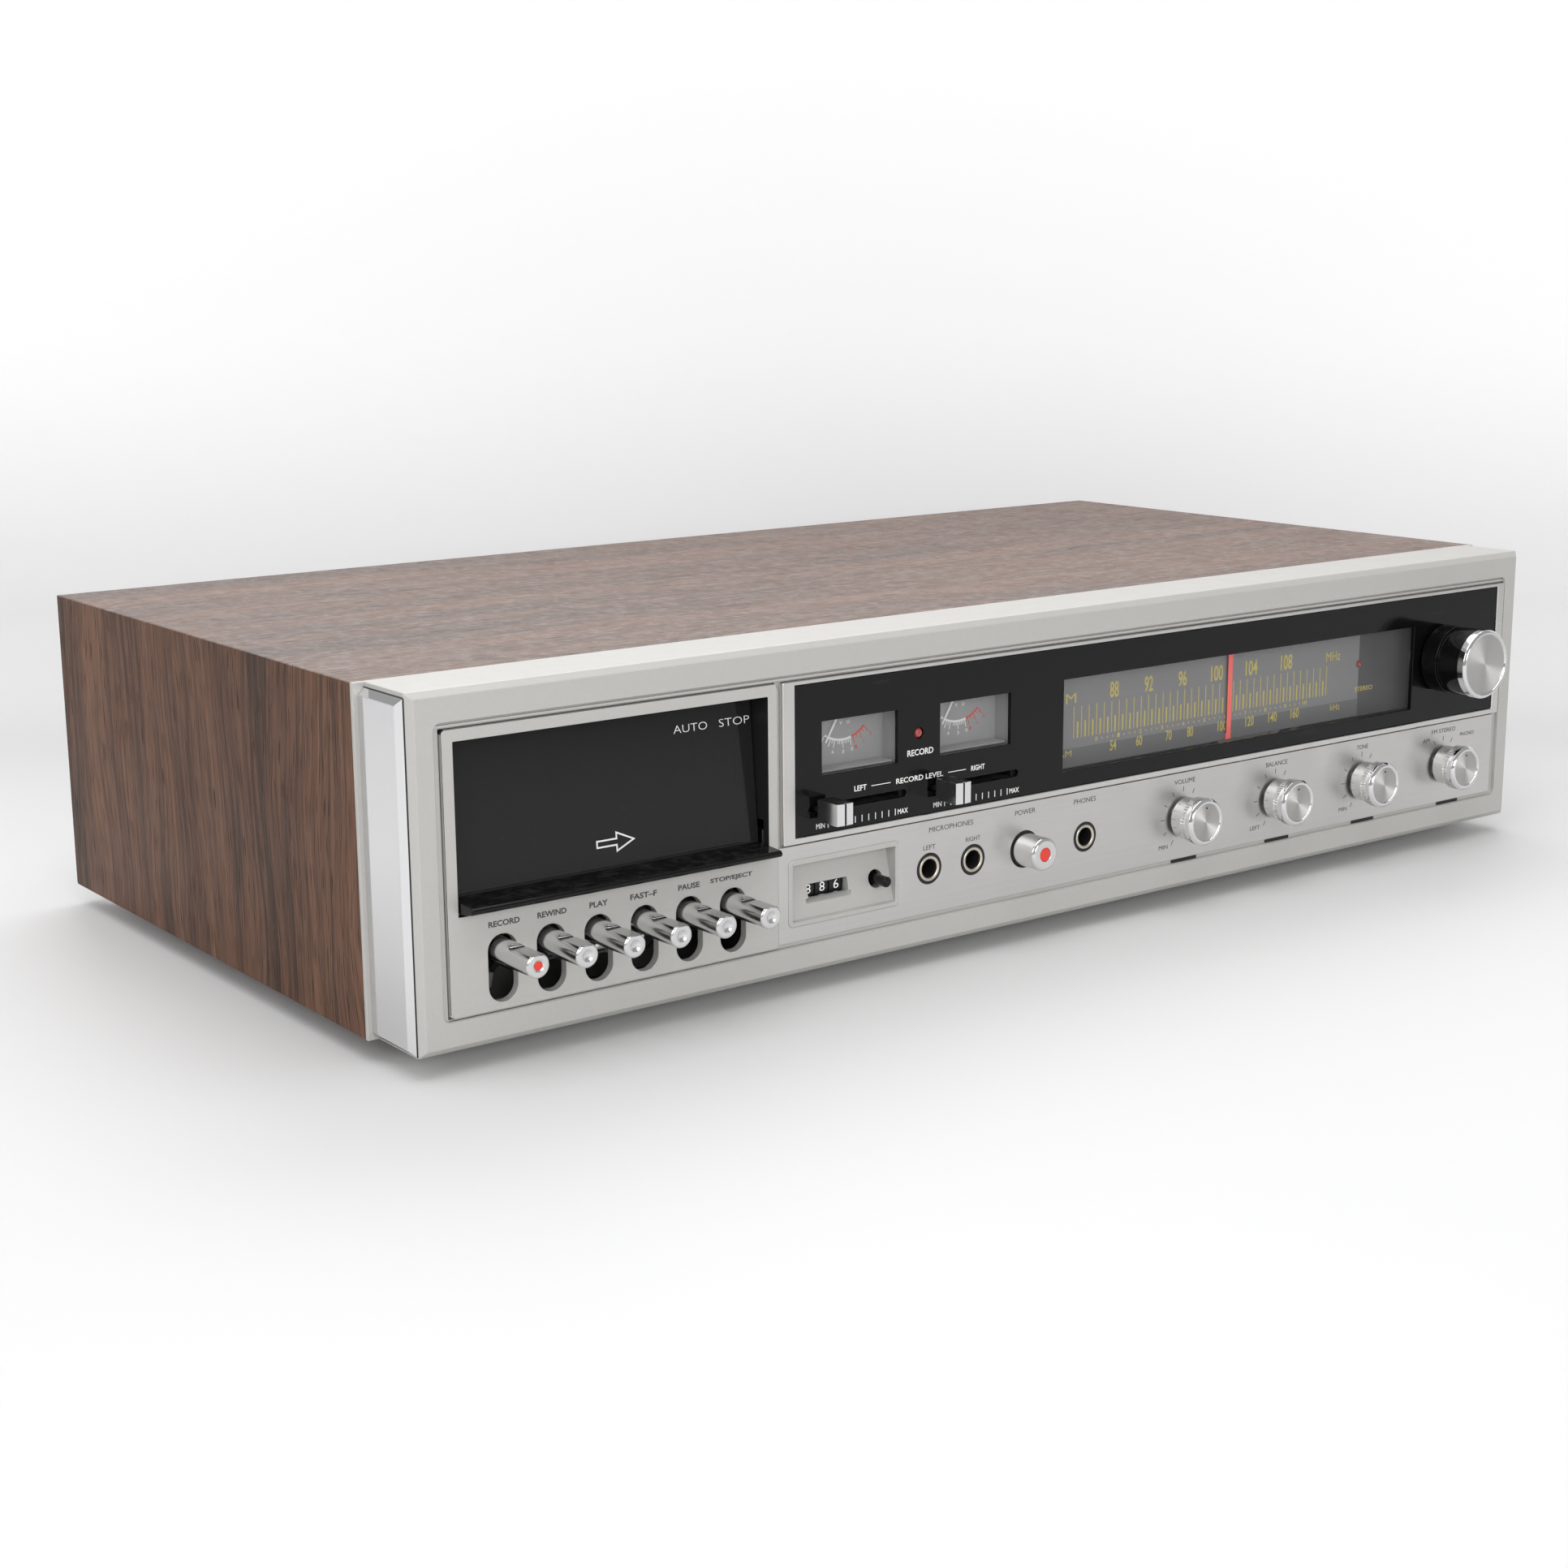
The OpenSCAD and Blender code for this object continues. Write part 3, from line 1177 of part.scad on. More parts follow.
module power_button() {
    r = power_d / 2;
    y1 = backing_y + 3;
    color("gainsboro") placed() turned_y(power_x, row_z) polygon([
        [0, -power_out + 0.4], [2.4, -power_out + 0.4], [2.4, -power_out], [r - 0.8, -power_out],
        [r, -power_out + 0.8], [r, y1], [3, y1], [3, y1 + 11], [0, y1 + 11]
    ]);
}

// Rotary knob: a smooth sleeve, a fluted ring and a polished rim round a sunk face.
module knob(i) {
    r = knob_r;
    y1 = strip_y - 1.2;
    y0 = y1 - knob_l;
    ring_y0 = y0 + 2.6;
    ring_y1 = ring_y0 + 2.6;
    n = knob_flutes;
    flute = 0.35;
    sleeve_r = r - 1.1;
    x = knob_x + i * knob_pitch;
    shaft_r = control_shaft_d / 2;
    color("gainsboro") placed() difference() {
        union() {
            turned_y(x, row_z) polygon([
                [0, y0 + 0.4], [r - 1.9, y0 + 0.4], [r - 1.7, y0], [r - 0.9, y0], [r, y0 + 0.9], [r, ring_y0 + eps],
                [sleeve_r, ring_y1 - eps], [sleeve_r, y1 - 0.3], [sleeve_r - 0.3, y1], [sleeve_r - 1.2, y1],
                [sleeve_r - 1.2, y1 - 4], [0, y1 - 4]
            ]);
            translate([x, 0, row_z]) plate(ring_y0, ring_y1) polygon([
                for (k = [0:2 * n - 1]) (k % 2 == 0 ? r - 0.05 : r - 0.05 - flute) * [cos(180 * k / n), sin(180 * k / n)]
            ]);
            bar_y(x, row_z, shaft_r, y1 - 4.5, backing_y + pot_l - 2);
        }
    }
}

module volume_knob() { knob(0); }
module balance_knob() { knob(1); }
module tone_knob() { knob(2); }
module function_knob() { knob(3); }

// Tape counter

// Dish: a moulding with a sloping floor, the figure window and the cheeks of the wheel axle.
module counter_dish() {
    x0 = counter_x0;
    x1 = counter_x1;
    z0 = counter_z0;
    z1 = counter_z1;
    wall = 1.8;
    cheek_x = figure_w / 2 + 0.6;
    cheek_z0 = figure_z - wheel_r - 1.4;
    cheek_z1 = figure_z + wheel_r + 1.4;
    color("lightgray") placed() {
        difference() {
            union() {
                plate(0.2, backing_y + 1.2) round_rect(x0, z0, x1, z1, counter_r);
                plate(backing_y, backing_y + 1.2) rect(x0 - 2, z0 - 2, x1 + 2, z1 + 1.8);
                for (s = [-1, 1]) {
                    x = figure_x + s * (cheek_x + 0.6);
                    profile(x - 0.6, x + 0.6) hull() {
                        translate([backing_y + 1, cheek_z0]) square([0.1, cheek_z1 - cheek_z0]);
                        translate([wheel_y + 2, figure_z]) circle(3.5, $fn = 32);
                    }
                }
                bar_x(wheel_y, figure_z, axle_r, figure_x - cheek_x - 0.6, figure_x + cheek_x + 0.6);
            }
            profile(x0 + wall, x1 - wall) polygon([
                [-1, z1 - wall + 0.4], [0.2, z1 - wall], [dish_y1, z1 - wall - 1], [dish_y0, z0 + wall], [-1, z0 + wall - 0.6]
            ]);
            // Figure window with a bevelled foot
            plate(-1, backing_y + 5) rect(
                figure_x - figure_w / 2, figure_z - figure_h / 2, figure_x + figure_w / 2, figure_z + figure_h / 2
            );
            profile(figure_x - figure_w / 2 - 1, figure_x + figure_w / 2 + 1) polygon([
                [0, figure_z - figure_h / 2 - 2.2], [backing_y - 0.4, figure_z - figure_h / 2 + eps],
                [0, figure_z - figure_h / 2 + 1.5]
            ]);
            bar_y(reset_x, figure_z, reset_hole_d / 2, -1, backing_y + 5);
        }
    }
}

module figure_wheel(i) {
    x = figure_x + (i - 1) * wheel_pitch;
    w = wheel_w / 2;
    color([0.08, 0.08, 0.08]) placed() turned_x(wheel_y, figure_z) polygon([
        [axle_r + run_gap, x - w], [wheel_r - 0.3, x - w], [wheel_r, x - w + 0.3], [wheel_r, x + w - 0.3],
        [wheel_r - 0.3, x + w], [axle_r + run_gap, x + w]
    ]);
}

module counter_hundreds() { figure_wheel(0); }
module counter_tens() { figure_wheel(1); }
module counter_units() { figure_wheel(2); }

module counter_reset() {
    r = reset_d / 2;
    back = backing_y + 1.2;
    color([0.08, 0.08, 0.08]) placed() turned_y(reset_x, figure_z) polygon([
        [0, -3], [r - 0.5, -3], [r, -2.5], [r, back + seat_gap], [reset_hole_d / 2 + 1, back + seat_gap],
        [reset_hole_d / 2 + 1, back + 1.6], [1.2, back + 1.6], [1.2, back + 8], [0, back + 8]
    ]);
}

// Electronics

function board_x0() = 18;
function board_x1() = pan_w / 2 - 8;
function board_y0() = 20;
function board_y1() = rear_y - 14;
function board_posts_x() = [board_x0() + 8, board_x1() - 8];
function board_posts_y() = [board_y0() + 30, board_y1() - 10];
function lead_x() = core_x - 66;
function lead_z() = 22;
function phono_places() = [for (i = [0:3], k = [0, 1]) [phono_x + phono_pitch[0] * i, phono_z + phono_pitch[1] * k]];

// Main board with its larger parts: cans, electrolytics, filters and a heat sink.
module main_board() {
    z = board_z + pcb_t;
    x0 = board_x0();
    y1 = board_y1();
    color("peru") placed() {
        box(x0, board_y0(), board_z, board_x1(), y1, z);
        for (i = [0:3]) translate([x0 + 20 + 16 * i, y1 - 40, z - eps]) cylinder(d = 12, h = 24);
        for (i = [0:4]) box(x0 + 70 + 16 * i, 80, z - eps, x0 + 80 + 16 * i, 90, z + 13);
        for (i = [0:2]) box(x0 + 70 + 22 * i, 110, z - eps, x0 + 88 + 22 * i, 118, z + 8);
        // Heat sink: a base with upright fins
        box(x0 + 100, y1 - 50, z - eps, x0 + 170, y1 - 25, z + 3);
        for (i = [0:8]) box(x0 + 100 + 8.5 * i, y1 - 50, z + 2, x0 + 102 + 8.5 * i, y1 - 25, z + 28);
    }
}

// Mains transformer: laminated core, a winding with two flanges and a foot bracket.
module transformer() {
    z0 = floor_z;
    x = core_x;
    y = core_y;
    y_mid = y + core_d / 2;
    color("darkslategray") placed() {
        box(x - core_w / 2, y + 8, z0, x + core_w / 2, y + core_d - 8, z0 + core_h);
        box(x - core_w / 2 + 9, y, z0 + 8, x + core_w / 2 - 9, y + 8 + eps, z0 + core_h - 8);
        box(x - core_w / 2 + 9, y + core_d - 8 - eps, z0 + 8, x + core_w / 2 - 9, y + core_d, z0 + core_h - 8);
        difference() {
            box(x - core_w / 2 - 10, y_mid - 8, z0, x + core_w / 2 + 10, y_mid + 8, z0 + 1.2);
            for (s = [-1, 1]) translate([x + s * (core_w / 2 + 5), y_mid, 0]) cylinder(d = 4, h = 20);
        }
    }
}

// Rear sockets: two rows of phono sockets, the aerial screws and the mains lead's bush.
module rear_sockets() {
    y = rear_y;
    out = rear_y + sheet_t;
    color("silver") placed() {
        for (p = phono_places()) translate([p[0], 0, p[1]]) turned_y(0, 0) polygon([
            [1.7, y - 1.2], [phono_r + 2, y - 1.2], [phono_r + 2, y], [phono_r, y],
            [phono_r, out + rear_recess - sheet_t - 1], [phono_r - 0.4, out + rear_recess - sheet_t - 0.6], [1.7, out + rear_recess - sheet_t - 0.6]
        ]);
        // Aerial terminals
        face = out + aerial_size[2];
        box(aerial_x, out, aerial_z, aerial_x + aerial_size[0], face, aerial_z + aerial_size[1]);
        for (i = [0:3]) translate([aerial_x + 8 + i * (aerial_size[0] - 16) / 3, 0, aerial_z + aerial_size[1] / 2]) {
            bar_y(0, 0, 3.2, face - eps, face + 1.5);
            bar_y(0, 0, 1.5, face - eps, face + 2.3);
        }
        // Bush for the mains lead
        translate([lead_x(), 0, lead_z()]) turned_y(0, 0) polygon([
            [lead_r, y - 4], [lead_r + 2.2, y - 4], [lead_r + 2.2, out], [lead_r + 4, out],
            [lead_r + 3.4, out + 3], [lead_r, out + 3]
        ]);
    }
}

cabinet_sleeve();
bottom_pan();
rear_panel();
front_bezel();
side_trims();
feet();
deck_panel();
deck_door();
door_hinge_pins();
cassette_carrier();
deck_chassis();
key_record();
key_rewind();
key_play();
key_fast();
key_pause();
key_stop();
key_shaft();
latch_bar();
head_slide();
pinch_roller();
supply_reel();
takeup_reel();
capstan_flywheel();
drive_belt();
deck_motor();
motor_pulley();
dial_frame();
dial_panel();
dial_lens();
dial_scale();
dial_pointer();
tuning_knob();
tuning_shaft();
tuning_capacitor();
cord_drum();
dial_cord();
level_meters();
needle_left();
needle_right();
indicator_lamps();
slider_left();
slider_right();
slide_pots();
control_strip();
control_units();
jack_sockets();
power_button();
volume_knob();
balance_knob();
tone_knob();
function_knob();
counter_dish();
counter_units();
counter_tens();
counter_hundreds();
counter_reset();
main_board();
transformer();
rear_sockets();
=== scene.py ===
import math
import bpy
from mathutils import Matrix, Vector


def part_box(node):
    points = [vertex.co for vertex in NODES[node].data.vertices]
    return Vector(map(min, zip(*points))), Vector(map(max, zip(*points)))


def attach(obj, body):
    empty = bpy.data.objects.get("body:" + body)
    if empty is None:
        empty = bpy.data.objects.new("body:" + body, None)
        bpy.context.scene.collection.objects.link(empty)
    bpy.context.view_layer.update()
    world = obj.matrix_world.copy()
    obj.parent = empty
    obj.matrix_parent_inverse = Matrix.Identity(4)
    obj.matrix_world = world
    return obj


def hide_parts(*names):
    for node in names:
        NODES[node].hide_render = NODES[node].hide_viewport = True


bl_info = {
    "name": "Radio cassette recorder",
    "version": (1, 0, 0),
    "blender": (4, 5, 0),
    "location": "View3D > Sidebar > Recorder",
    "description": "Finishes, lettering and small parts of a shelf radio cassette recorder",
    "category": "Object",
}

import bmesh
import bpy
from bpy.props import FloatProperty, FloatVectorProperty, IntProperty, PointerProperty
from mathutils import Matrix, Vector

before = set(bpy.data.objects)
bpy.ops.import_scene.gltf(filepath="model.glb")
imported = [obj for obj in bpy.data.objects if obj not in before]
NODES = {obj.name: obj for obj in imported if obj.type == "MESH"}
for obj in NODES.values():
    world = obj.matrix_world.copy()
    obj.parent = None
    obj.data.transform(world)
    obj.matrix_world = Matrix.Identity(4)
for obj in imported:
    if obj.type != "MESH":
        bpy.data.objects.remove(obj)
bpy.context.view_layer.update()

# The cabinet's own frame, in millimetres: X from the centre to the right, Y back from the
# front face and Z up from the underside of the bezel.
MM = 0.001
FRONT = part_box("front_bezel")[0].y
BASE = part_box("front_bezel")[0].z
PLACE = Matrix.Translation((0.0, FRONT, BASE)) @ Matrix.Scale(MM, 4)
INTO_CABINET = PLACE.inverted()

LIP_Z = 46.5  # upper side of the door's lip
SCALE_Y = 10.0  # front of the dial's scale plate
CREASE = 32.0  # edges that turn by more degrees than this are sharp


def cabinet_box(node):
    """Lowest and highest corner of a CAD node in the cabinet's frame."""
    low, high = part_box(node)
    return INTO_CABINET @ low, INTO_CABINET @ high


def centre(node):
    low, high = cabinet_box(node)
    return (low + high) / 2


def window_plane():
    """The door window's front face: its y at z = 0 and how far it recedes per unit of height."""
    data = NODES["deck_door"].data
    leaning = [f for f in data.polygons if -0.999 < f.normal.y < -0.9 and f.normal.z > 0]
    face = max(leaning, key=lambda f: f.area)
    corner = INTO_CABINET @ data.vertices[face.vertices[0]].co
    lean = -face.normal.z / face.normal.y
    return corner.y - lean * corner.z, lean


WINDOW = window_plane()


# Settings


def colour(name, description, default):
    return FloatVectorProperty(
        name=name, description=description, subtype="COLOR", size=3, default=default
    )


def angle(name, description, default):
    return FloatProperty(
        name=name, description=description, subtype="ANGLE", default=math.radians(default)
    )


def strength(name, description, default):
    return FloatProperty(name=name, description=description, default=default, min=0)


class CabinetSettings(bpy.types.PropertyGroup):
    edge: FloatProperty(
        name="Edge radius", description="Rounding of the chrome end trims, in millimetres",
        default=0.35, min=0.05, max=1.0,
    )
    wood: colour("Wood", "Middle tone of the walnut vinyl", (0.132, 0.061, 0.034))
    wood_dark: colour("Wood grain", "Dark grain of the walnut vinyl", (0.046, 0.022, 0.013))
    silver: colour("Silver paint", "Paint of the moulded front", (0.53, 0.522, 0.50))


class FrontSettings(bpy.types.PropertyGroup):
    ink: FloatProperty(
        name="Ink", description="Thickness of the printed lettering, in millimetres",
        default=0.04, min=0.01, max=0.2,
    )
    print_dark: colour("Dark print", "Lettering on silver surfaces", (0.055, 0.055, 0.055))
    print_light: colour("Light print", "Lettering on black surfaces", (0.82, 0.82, 0.80))
    dial_print: colour("Dial print", "Figures of the tuning dial", (0.56, 0.46, 0.09))
    flutes: IntProperty(
        name="Flutes", description="Flutes round a rotary knob", default=96, min=24, max=160
    )


class StageSettings(bpy.types.PropertyGroup):
    azimuth: angle("Azimuth", "Turn of the camera from straight ahead", -36.829)
    tilt: angle("Tilt", "Camera's angle up from straight down", 77.432)
    roll: angle("Roll", "Roll of the camera", -0.397)
    stand: FloatVectorProperty(
        name="Stand", description="Camera's place in the cabinet's frame, in millimetres",
        subtype="XYZ", size=3, default=(-560.85, -592.15, 228.25),
    )
    lens: FloatProperty(
        name="Lens", description="Focal length on a 36 mm sensor, in millimetres",
        default=55.70, min=20, max=200,
    )
    wall_distance: FloatProperty(
        name="Wall", description="Distance from the camera to the backdrop's upright part",
        subtype="DISTANCE", default=1.25,
    )
    paper_glow: strength("Paper glow", "How much whiter the camera sees the backdrop", 0.12)
    room: strength("Room light", "Strength of the light from all round", 0.40)
    key_power: strength("Key light", "Power of the overhead light, in watts", 18.0)
    back_power: strength("Back light", "Power of the light above and behind, in watts", 11.0)
    side_power: strength("Side light", "Power of the light at the left, in watts", 9.5)
    fill_power: strength("Fill light", "Power of the light at the front, in watts", 16.0)


# Mesh helpers: all shapes are drawn in the cabinet's frame and moved once into the model's.


def link(obj):
    found = bpy.data.collections.get("recorder_finish")
    if found is None:
        found = bpy.data.collections.new("recorder_finish")
        bpy.context.scene.collection.children.link(found)
    found.objects.link(obj)
    return obj


def mesh_object(name, mesh):
    """Turns a bmesh in the model's frame into a linked object."""
    data = bpy.data.meshes.new(name)
    mesh.to_mesh(data)
    mesh.free()
    return link(bpy.data.objects.new(name, data))


def baked(obj):
    """The mesh that an object's modifiers or curve come to."""
    bpy.context.view_layer.update()
    graph = bpy.context.evaluated_depsgraph_get()
    return bpy.data.meshes.new_from_object(obj.evaluated_get(graph))


def evaluated(obj):
    """Applies an object's modifiers and returns it with the resulting mesh."""
    shape, old = baked(obj), obj.data
    obj.modifiers.clear()
    obj.data = shape
    if old.users == 0:
        bpy.data.meshes.remove(old)
    return obj


def untangle(obj):
    """Turns the long edge of each flat triangle that a bevel has pushed past its neighbour."""
    mesh = bmesh.new()
    mesh.from_mesh(obj.data)
    for attempt in range(12):
        mesh.normal_update()
        edges = set()
        for edge in mesh.edges:
            faces = edge.link_faces
            if len(faces) == 2 and faces[0].normal.dot(faces[1].normal) < -0.999:
                tangled = min(faces, key=lambda f: f.calc_area())
                longest = max(tangled.edges, key=lambda e: e.calc_length())
                sides = [f for f in longest.link_faces if len(f.verts) == 3]
                if len(sides) == 2 and abs(sides[0].normal.dot(sides[1].normal)) > 0.999:
                    edges.add(longest)
        if not edges:
            break
        for edge in edges:
            if edge.is_valid:
                bmesh.ops.rotate_edges(mesh, edges=[edge], use_ccw=attempt % 2 == 1)
    mesh.to_mesh(obj.data)
    mesh.free()


def direction(edge):
    return (edge.verts[1].co - edge.verts[0].co).normalized()


def soften(obj, width, steps=2, crease=CREASE):
    """Rounds sharp edges by a bevel of that width, or less where the faces beside are narrow."""
    mesh = bmesh.new()
    mesh.from_mesh(obj.data)
    weight = mesh.edges.layers.float.new("bevel_weight_edge")
    for face in mesh.faces:
        face.smooth = True
    for edge in mesh.edges:
        edge.smooth = len(edge.link_faces) == 2
        if not edge.smooth or edge.calc_face_angle(0.0) < math.radians(crease):
            continue
        along = direction(edge)
        room = [
            other.calc_length() for vert in edge.verts for other in vert.link_edges
            if other is not edge and abs(direction(other).dot(along)) < 0.85
        ]
        share = min(1.0, 0.4 * min(room, default=1.0) / (width * MM))
        if share > 0.1:
            edge[weight] = share
        else:
            edge.smooth = False
    mesh.to_mesh(obj.data)
    mesh.free()
    bevel = obj.modifiers.new("edges", "BEVEL")
    bevel.width = width * MM
    bevel.segments = steps
    bevel.limit_method = "WEIGHT"
    bevel.use_clamp_overlap = False
    bevel.face_strength_mode = "FSTR_ALL"
    untangle(evaluated(obj))
    flat = obj.modifiers.new("flat", "WEIGHTED_NORMAL")
    flat.keep_sharp = True
    flat.weight = 50
    flat.use_face_influence = True
    return evaluated(obj)


def dress(obj, body, slot, *looks):
    """Gives an object its materials by name and its body; the slot is not used."""
    obj.data.materials.clear()
    for look in looks:
        obj.data.materials.append(finish(look))
    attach(obj, body)
    return obj


def shade(obj, crease):
    obj.data.shade_smooth()
    obj.data.set_sharp_from_angle(angle=math.radians(crease))


def make(name, mesh, body, slot, look, edge=0.0, crease=CREASE, weld=True):
    """Turns a bmesh in the cabinet's frame into a finished piece."""
    if weld:
        bmesh.ops.remove_doubles(mesh, verts=mesh.verts, dist=0.0005)
        bmesh.ops.recalc_face_normals(mesh, faces=mesh.faces)
    mesh.transform(PLACE)
    obj = mesh_object(name, mesh)
    if edge > 0:
        soften(obj, edge, crease=crease)
    else:
        shade(obj, crease)
    return dress(obj, body, slot, look)


def skin(node, body, slot, *looks, edge=None, steps=2, paint=None, shape=None):
    """A copy of a CAD node with welded, rounded edges, which stands for the node.

    Where paint is given, it says which of the looks a face has, by its centre and its normal.
    """
    mesh = bmesh.new()
    mesh.from_mesh(NODES[node].data)
    bmesh.ops.remove_doubles(mesh, verts=mesh.verts, dist=0.000002)
    flat = [e for e in mesh.edges if len(e.link_faces) == 2 and e.calc_face_angle(1.0) < 0.001]
    bmesh.ops.beautify_fill(mesh, faces=mesh.faces, edges=flat, method="ANGLE")
    if shape:
        for vert in mesh.verts:
            vert.co = PLACE @ shape(INTO_CABINET @ vert.co)
    obj = mesh_object(node + "_skin", mesh)
    soften(obj, bpy.context.scene.recorder_cabinet.edge if edge is None else edge, steps)
    dress(obj, body, slot, *looks)
    if paint:
        for face in obj.data.polygons:
            face.material_index = int(paint(INTO_CABINET @ face.center, face.normal))
    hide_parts(node)
    return obj


def rounded(x0, z0, x1, z1, r, steps=5):
    """Outline of a rectangle with round corners."""
    corners = (
        (x1 - r, z1 - r, 0), (x0 + r, z1 - r, 90), (x0 + r, z0 + r, 180), (x1 - r, z0 + r, 270)
    )
    return [
        (x + r * math.cos(math.radians(a + 90 * k / steps)),
         z + r * math.sin(math.radians(a + 90 * k / steps)))
        for x, z, a in corners for k in range(steps + 1)
    ]


def prism(mesh, outline, a0, a1, axis="Y"):
    """Adds a closed prism: an outline in the plane across the axis, from a0 to a1 along it."""
    low, high = (
        [mesh.verts.new({"X": (a, u, v), "Y": (u, a, v), "Z": (u, v, a)}[axis]) for u, v in outline]
        for a in (a0, a1)
    )
    mesh.faces.new(low[::-1])
    mesh.faces.new(high)
    for k in range(len(outline)):
        j = (k + 1) % len(outline)
        mesh.faces.new((low[k], low[j], high[j], high[k]))


def block(mesh, x0, y0, z0, x1, y1, z1):
    prism(mesh, [(x0, z0), (x1, z0), (x1, z1), (x0, z1)], y0, y1)


def hoop(mesh, *rings):
    """Joins rings of as many points each, one to the next and the last to the first."""
    rings = [[mesh.verts.new(point) for point in ring] for ring in rings]
    for one, two in zip(rings, rings[1:] + rings[:1]):
        for k in range(len(one)):
            j = (k + 1) % len(one)
            mesh.faces.new((one[k], one[j], two[j], two[k]))


def lathe(mesh, outline, cx, cz, steps=64, closed=False):
    """Adds a turned shape about a line along Y: its outline gives radius, then place."""
    rings = []
    for r, y in outline:
        turns = [2 * math.pi * k / steps for k in range(steps if r > 0 else 1)]
        ring = [mesh.verts.new((cx + r * math.cos(t), y, cz + r * math.sin(t))) for t in turns]
        rings.append(ring * (steps // len(ring)))
    for one, two in zip(rings, rings[1:] + rings[:1] if closed else rings[1:]):
        for k in range(steps):
            j = (k + 1) % steps
            corners = list(dict.fromkeys((one[k], one[j], two[j], two[k])))
            if len(corners) > 2:
                mesh.faces.new(corners)
    return rings


def drawn(shape, *values, **how):
    """A new bmesh that holds one shape."""
    mesh = bmesh.new()
    shape(mesh, *values, **how)
    return mesh


def polar_map(obj, cx, cz):
    """A UV map whose U runs round a point of the front, so that a spun finish shines along it."""
    layer = obj.data.uv_layers.new(name="spun")
    for face in obj.data.polygons:
        p = INTO_CABINET @ face.center
        middle = math.atan2(p.z - cz, p.x - cx)
        for loop in face.loop_indices:
            p = INTO_CABINET @ obj.data.vertices[obj.data.loops[loop].vertex_index].co
            r = math.hypot(p.x - cx, p.z - cz)
            turn = math.atan2(p.z - cz, p.x - cx) - middle if r > 0.001 else 0.0
            turn = (turn + math.pi) % (2 * math.pi) - math.pi
            layer.data[loop].uv = ((middle + turn) / (2 * math.pi), r / 20)


def spun_disc(name, cx, cz, y, radius, body, slot, look):
    """A turned end face with its own polar map."""
    outline = [(radius, y + 0.04)] + [(radius * k / 8, y) for k in range(8, -1, -1)]
    piece = make(name, drawn(lathe, outline, cx, cz, steps=96), body, slot, look, crease=60)
    polar_map(piece, cx, cz)


# Node trees


def add(tree, kind, links=(), **values):
    """A node with its properties set and its inputs linked or given a value."""
    made = tree.nodes.new(kind)
    for label, value in values.items():
        setattr(made, label, value)
    for socket, source in dict(links).items():
        if isinstance(source, bpy.types.NodeSocket):
            tree.links.new(source, made.inputs[socket])
        else:
            made.inputs[socket].default_value = source
    return made


def node_group(kind, name, inputs, outputs, build):
    """A node group with named inputs and outputs, filled by a function on first use."""
    if name in bpy.data.node_groups:
        return bpy.data.node_groups[name]
    tree = bpy.data.node_groups.new(name, kind)
    for label, sort, value in inputs:
        socket = tree.interface.new_socket(label, in_out="INPUT", socket_type="NodeSocket" + sort)
        if value is not None:
            socket.default_value = value
    for label, sort in outputs:
        tree.interface.new_socket(label, in_out="OUTPUT", socket_type="NodeSocket" + sort)
    given, out = tree.nodes.new("NodeGroupInput"), tree.nodes.new("NodeGroupOutput")
    for label, result in build(tree, given.outputs).items():
        tree.links.new(result, out.inputs[label])
    return tree


def copies_group(name, inputs, place):
    """Geometry Nodes that copy a piece: place gives the copies' points, the piece and its turn."""
    def build(tree, given):
        copies = add(tree, "GeometryNodeInstanceOnPoints", place(tree, given))
        real = add(tree, "GeometryNodeRealizeInstances", {"Geometry": copies.outputs[0]})
        ink = add(
            tree, "GeometryNodeSetMaterial",
            {"Geometry": real.outputs[0], "Material": given["Material"]},
        )
        return {"Geometry": ink.outputs[0]}

    inputs = [("Geometry", "Geometry", None), *inputs, ("Material", "Material", None)]
    tree = node_group("GeometryNodeTree", name, inputs, [("Geometry", "Geometry")], build)
    tree.is_modifier = True
    return tree


def in_row(tree, given):
    line = add(
        tree, "GeometryNodeMeshLine", {"Count": given["Count"], "Offset": given["Step"]},
        mode="OFFSET",
    )
    return {"Points": line.outputs[0], "Instance": given["Geometry"]}


def in_ring(tree, given):
    line = add(
        tree, "GeometryNodeMeshLine",
        {"Count": given["Count"], "Start Location": given["Centre"], "Offset": (0, 0, 0)},
        mode="OFFSET",
    )
    order = add(tree, "GeometryNodeInputIndex").outputs[0]
    turn = maths(tree, "MULTIPLY_ADD", order, given["Step angle"], given["First angle"])
    about = add(tree, "ShaderNodeCombineXYZ", {"Y": turn}).outputs[0]
    return {"Points": line.outputs[0], "Instance": given["Geometry"], "Rotation": about}


def at_vertices(tree, given):
    source = add(tree, "GeometryNodeObjectInfo", {"Object": given["Piece"]}).outputs["Geometry"]
    chance = add(
        tree, "FunctionNodeRandomValue", {"Seed": given["Seed"], 3: 2 * math.pi}, data_type="FLOAT"
    )
    turn = add(
        tree, "ShaderNodeVectorMath", {0: given["Axis"], "Scale": chance.outputs[1]},
        operation="SCALE",
    )
    return {"Points": given["Geometry"], "Instance": source, "Rotation": turn.outputs[0]}


def repeat(name, mesh, tree, values, body, slot, look, place=PLACE, flip=True):
    """Runs a copying tree on a bmesh and keeps the result as a plain piece."""
    if flip:
        bmesh.ops.recalc_face_normals(mesh, faces=mesh.faces)
    mesh.transform(place)
    obj = mesh_object(name, mesh)
    modifier = obj.modifiers.new("copies", "NODES")
    modifier.node_group = tree
    values = dict(values, Material=finish(look))
    for item in tree.interface.items_tree:
        if item.item_type == "SOCKET" and item.in_out == "INPUT" and item.name in values:
            modifier[item.identifier] = values[item.name]
    obj.update_tag()
    evaluated(obj)
    shade(obj, CREASE)
    return dress(obj, body, slot, look)


